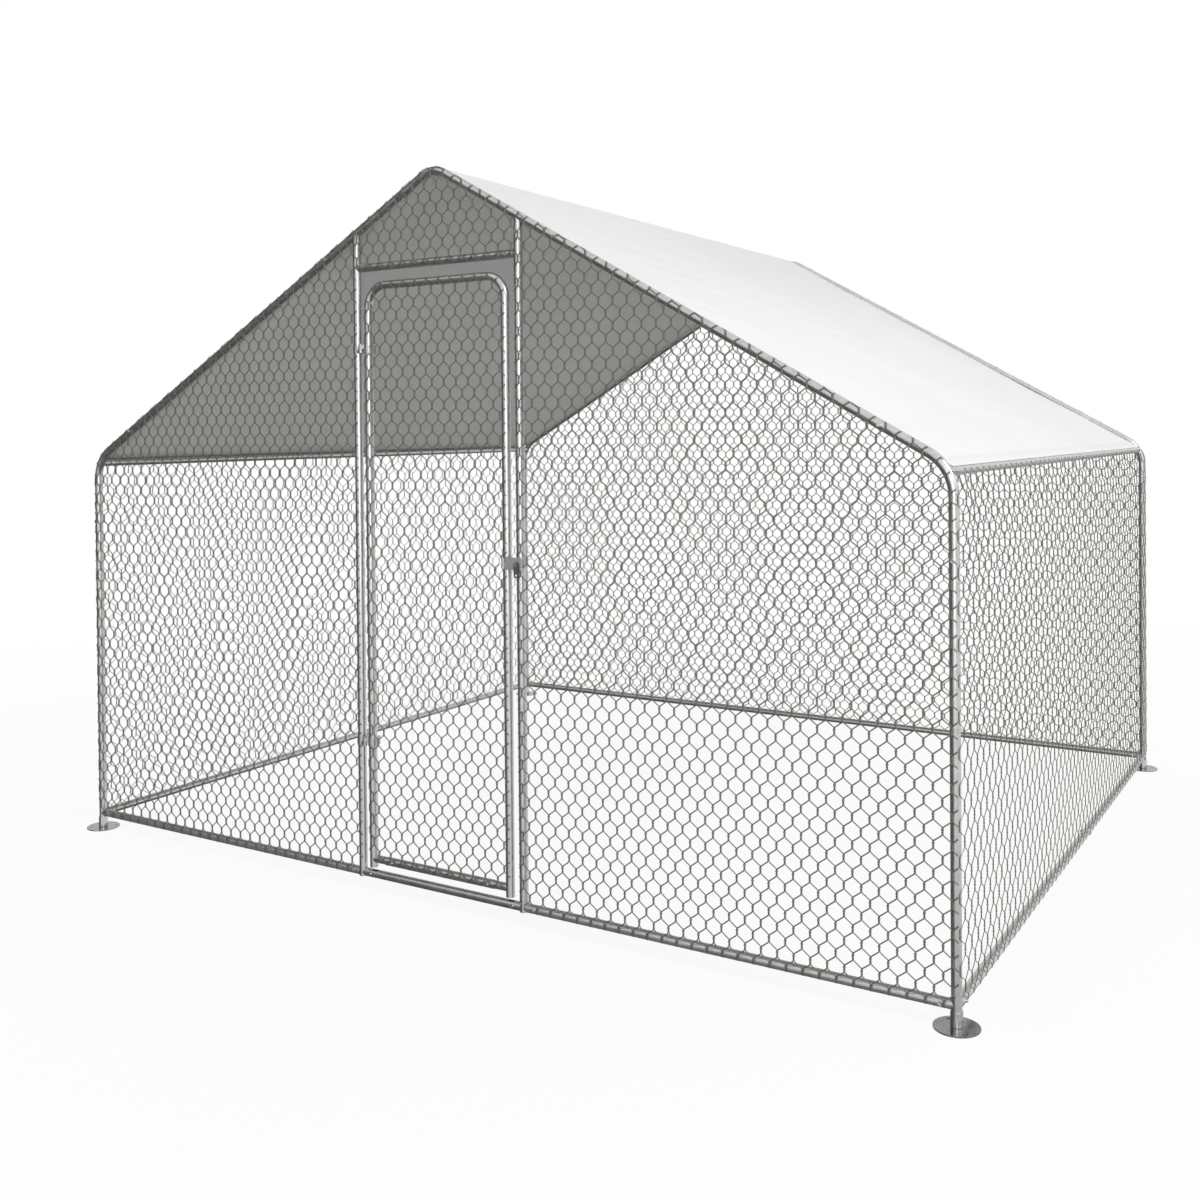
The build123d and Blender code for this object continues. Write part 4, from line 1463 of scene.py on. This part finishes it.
@dataclass(frozen=True)
class Lamp:
    """Soft box of light that looks at the pen."""

    name: str
    place: tuple[float, float, float]
    width: float
    height: float
    watts: float
    mirrored: bool = True  # in metal
    aim: tuple[float, float, float] = (0.0, 0.0, 1.0)

    def light(self) -> None:
        """Adds the lamp."""
        data = bpy.data.lights.new(self.name, "AREA")
        data.energy = self.watts
        data.shape = "RECTANGLE"
        data.size, data.size_y = self.width, self.height
        lamp = bpy.data.objects.new(self.name, data)
        bpy.context.scene.collection.objects.link(lamp)
        lamp.location = self.place
        lamp.visible_glossy = self.mirrored
        lamp.rotation_euler = (Vector(self.aim) - Vector(self.place)).to_track_quat("-Z", "Y").to_euler()


@dataclass(frozen=True)
class DarkSide:
    """Unlit patch of the studio, which only metal shows."""

    way: tuple[float, float, float]
    full: float  # angle from its middle to where it starts to fade
    end: float  # angle from its middle to where it ends

    def share(self, graph: Graph) -> Signal:
        """Darkness of the patch.

        Args:
            graph: Nodes of the world.

        Returns:
            1 in full darkness, 0 outside the patch.
        """
        sockets = {0: graph.out("ShaderNodeTexCoord", {}, {}, "Generated"), 1: self.way}
        facing = graph.out("ShaderNodeVectorMath", {"operation": "DOT_PRODUCT"}, sockets, "Value")
        return graph.ramp(facing, math.cos(self.end), math.cos(self.full))


@dataclass
class Studio:
    """White floor and backdrop, soft lamps and the camera of the photograph."""

    frame_size: float = 1200.0  # pixels of the square picture
    sensor: float = 36.0
    sight: float = 200.0  # furthest that the camera sees
    focal: float = 1292.9  # pixels
    horizon_line: float = 444.4  # height of the optical centre in the picture, in pixels
    eye: tuple[float, float, float] = (2.333, -4.197, 1.369)
    yaw: float = math.radians(31.505)
    pitch: float = math.radians(0.709)
    roll: float = math.radians(-0.5)
    ambient: float = 0.62
    dark_sides: tuple[DarkSide, ...] = (
        DarkSide((-0.92, -0.25, -0.31), math.radians(48), math.radians(58)),
        DarkSide((-0.66, 0.10, 0.75), math.radians(24), math.radians(36)),
    )
    ground: tuple[float, float] = (-0.52, -0.32)  # rise of a ray to the ground: full dark below, none above
    darkest: float = 0.10
    floor_glow: float = 0.90
    floor_size: float = 60.0
    floor_fade: tuple[float, float] = (2.5, 6.5)  # from the middle: where it starts and ends to go white
    floor_paint: Colour = (0.9, 0.9, 0.9)
    # painted shadow: the floor's colour under each foot
    painted_foot_shadow: Colour = (0.12, 0.12, 0.12)
    foot_shade: tuple[float, float] = (0.050, 0.056)  # from a post's axis: where that painted shadow fades
    lamps: tuple[Lamp, ...] = (
        Lamp("key", (8.5, -3.0, 7.0), 3.4, 3.4, 480.0),
        Lamp("fill", (-8.0, 5.0, 7.0), 3.4, 3.4, 240.0, mirrored=False),
        Lamp("front", (3.5, -6.4, 1.6), 1.6, 2.6, 60.0),
    )

    def camera(self) -> None:
        """Sets the camera at the photograph's place."""
        data = bpy.data.cameras.new("camera")
        data.sensor_width = self.sensor
        data.lens = self.focal / self.frame_size * self.sensor
        data.shift_y = self.horizon_line / self.frame_size - 0.5
        data.clip_end = self.sight
        level = math.cos(self.pitch)
        ahead = Vector((
            -math.sin(self.yaw) * level, math.cos(self.yaw) * level, -math.sin(self.pitch)
        ))
        right = Vector((math.cos(self.yaw), math.sin(self.yaw), 0))
        up = right.cross(ahead)
        tilted_right = right * math.cos(self.roll) + up * math.sin(self.roll)
        tilted_up = up * math.cos(self.roll) - right * math.sin(self.roll)
        turn = Matrix((tilted_right, tilted_up, -ahead)).transposed().to_4x4()
        eye = bpy.data.objects.new("camera", data)
        bpy.context.scene.collection.objects.link(eye)
        eye.matrix_world = Matrix.Translation(self.eye) @ turn
        bpy.context.scene.camera = eye

    @staticmethod
    def seen_directly(graph: Graph) -> Signal:
        """Marks the rays that show the background itself, in the picture, in metal or through glass.

        Args:
            graph: Nodes of the world or of the floor.

        Returns:
            1 for such a ray, 0 for others.
        """
        rays = graph.node("ShaderNodeLightPath", {}, {})
        names = ("Is Camera Ray", "Is Glossy Ray", "Is Transmission Ray")
        camera, glossy, passing = (Signal(graph, rays.outputs[name]) for name in names)
        return camera.highest(glossy).highest(passing)

    def backdrop(self) -> None:
        """Sets the white world."""
        world = bpy.data.worlds.new("backdrop")
        bpy.context.scene.world = world
        graph = Graph.fresh(world)
        rays = graph.node("ShaderNodeLightPath", {}, {})
        glossy = Signal(graph, rays.outputs["Is Glossy Ray"])
        strength = self.seen_directly(graph) * (1.0 - self.ambient) + self.ambient
        strength = strength - glossy * self.unlit(graph) * (1.0 - self.darkest)
        glow = graph.out("ShaderNodeBackground", {}, {"Color": (1, 1, 1, 1), "Strength": strength})
        graph.node("ShaderNodeOutputWorld", {}, {"Surface": glow})

    def unlit(self, graph: Graph) -> Signal:
        """Share of darkness that metal mirrors from the unlit sides of the studio and from the ground.

        Args:
            graph: Nodes of the world.

        Returns:
            0 towards the white backdrop, 1 in full darkness.
        """
        way = graph.out("ShaderNodeTexCoord", {}, {}, "Generated")
        dark = 1.0 - graph.ramp(graph.axis(way, 2), *self.ground)
        for side in self.dark_sides:
            dark = dark.highest(side.share(graph))
        return dark

    def floor(self) -> None:
        """Lays the pale floor, which keeps the soft shadow."""
        bm = bmesh.new()
        bmesh.ops.create_grid(bm, x_segments=1, y_segments=1, size=self.floor_size)
        mesh = bpy.data.meshes.new("floor")
        bm.to_mesh(mesh)
        bm.free()
        material = bpy.data.materials.new("floor")
        graph = Graph.fresh(material)
        clear = self.outside_painted_foot_shadow(graph)
        # painted shadow: dark paint on the floor under each foot
        paint = graph.mixed(clear, self.painted_foot_shadow, self.floor_paint)
        matt = graph.out("ShaderNodeBsdfDiffuse", {}, {"Color": paint})
        white = graph.out("ShaderNodeEmission", {}, {"Color": (1, 1, 1, 1), "Strength": 1.0})
        away = graph.out("ShaderNodeVectorMath", {"operation": "LENGTH"}, {0: graph.place()}, "Value")
        whiten = graph.ramp(away, *self.floor_fade)
        share = self.seen_directly(graph) * (whiten * (1.0 - self.floor_glow) + self.floor_glow)
        mix = graph.out("ShaderNodeMixShader", {}, {0: share * clear, 1: matt, 2: white})
        graph.node("ShaderNodeOutputMaterial", {}, {"Surface": mix})
        mesh.materials.append(material)
        floor = bpy.data.objects.new("floor", mesh)
        bpy.context.scene.collection.objects.link(floor)
        floor.visible_glossy = False

    def outside_painted_foot_shadow(self, graph: Graph) -> Signal:
        """Marks the floor that no foot covers; the floor under a foot is painted dark as shadow, so that
        the peg holes stay dark.

        Args:
            graph: Nodes of the floor.

        Returns:
            0 under a foot, 1 elsewhere.
        """
        foot = middle("foot_front_right")
        folded = graph.out("ShaderNodeVectorMath", {"operation": "ABSOLUTE"}, {0: graph.place()})
        sockets = {0: folded, 1: (abs(foot.x), abs(foot.y), 0.0)}
        away = graph.out("ShaderNodeVectorMath", {"operation": "DISTANCE"}, sockets, "Value")
        return graph.ramp(away, *self.foot_shade)

    def build(self) -> None:
        """Sets up floor, backdrop, lamps and camera."""
        bpy.context.scene.view_settings.view_transform = "Standard"
        self.floor()
        self.backdrop()
        for lamp in self.lamps:
            lamp.light()
        self.camera()


def main() -> None:
    """Builds the studio, the netting and the sheet, and dresses the metalwork."""
    logging.basicConfig(level=logging.INFO, format="%(name)s %(message)s")
    Studio().build()
    pen = PenSizes()
    wire = NET_WIRE.material()
    Netting(pen).build_gables(wire)
    Netting.wide(pen).build_sides(wire)
    RoofSheet(pen).build()
    Metalwork().dress()


if __name__ == "__main__":
    main()
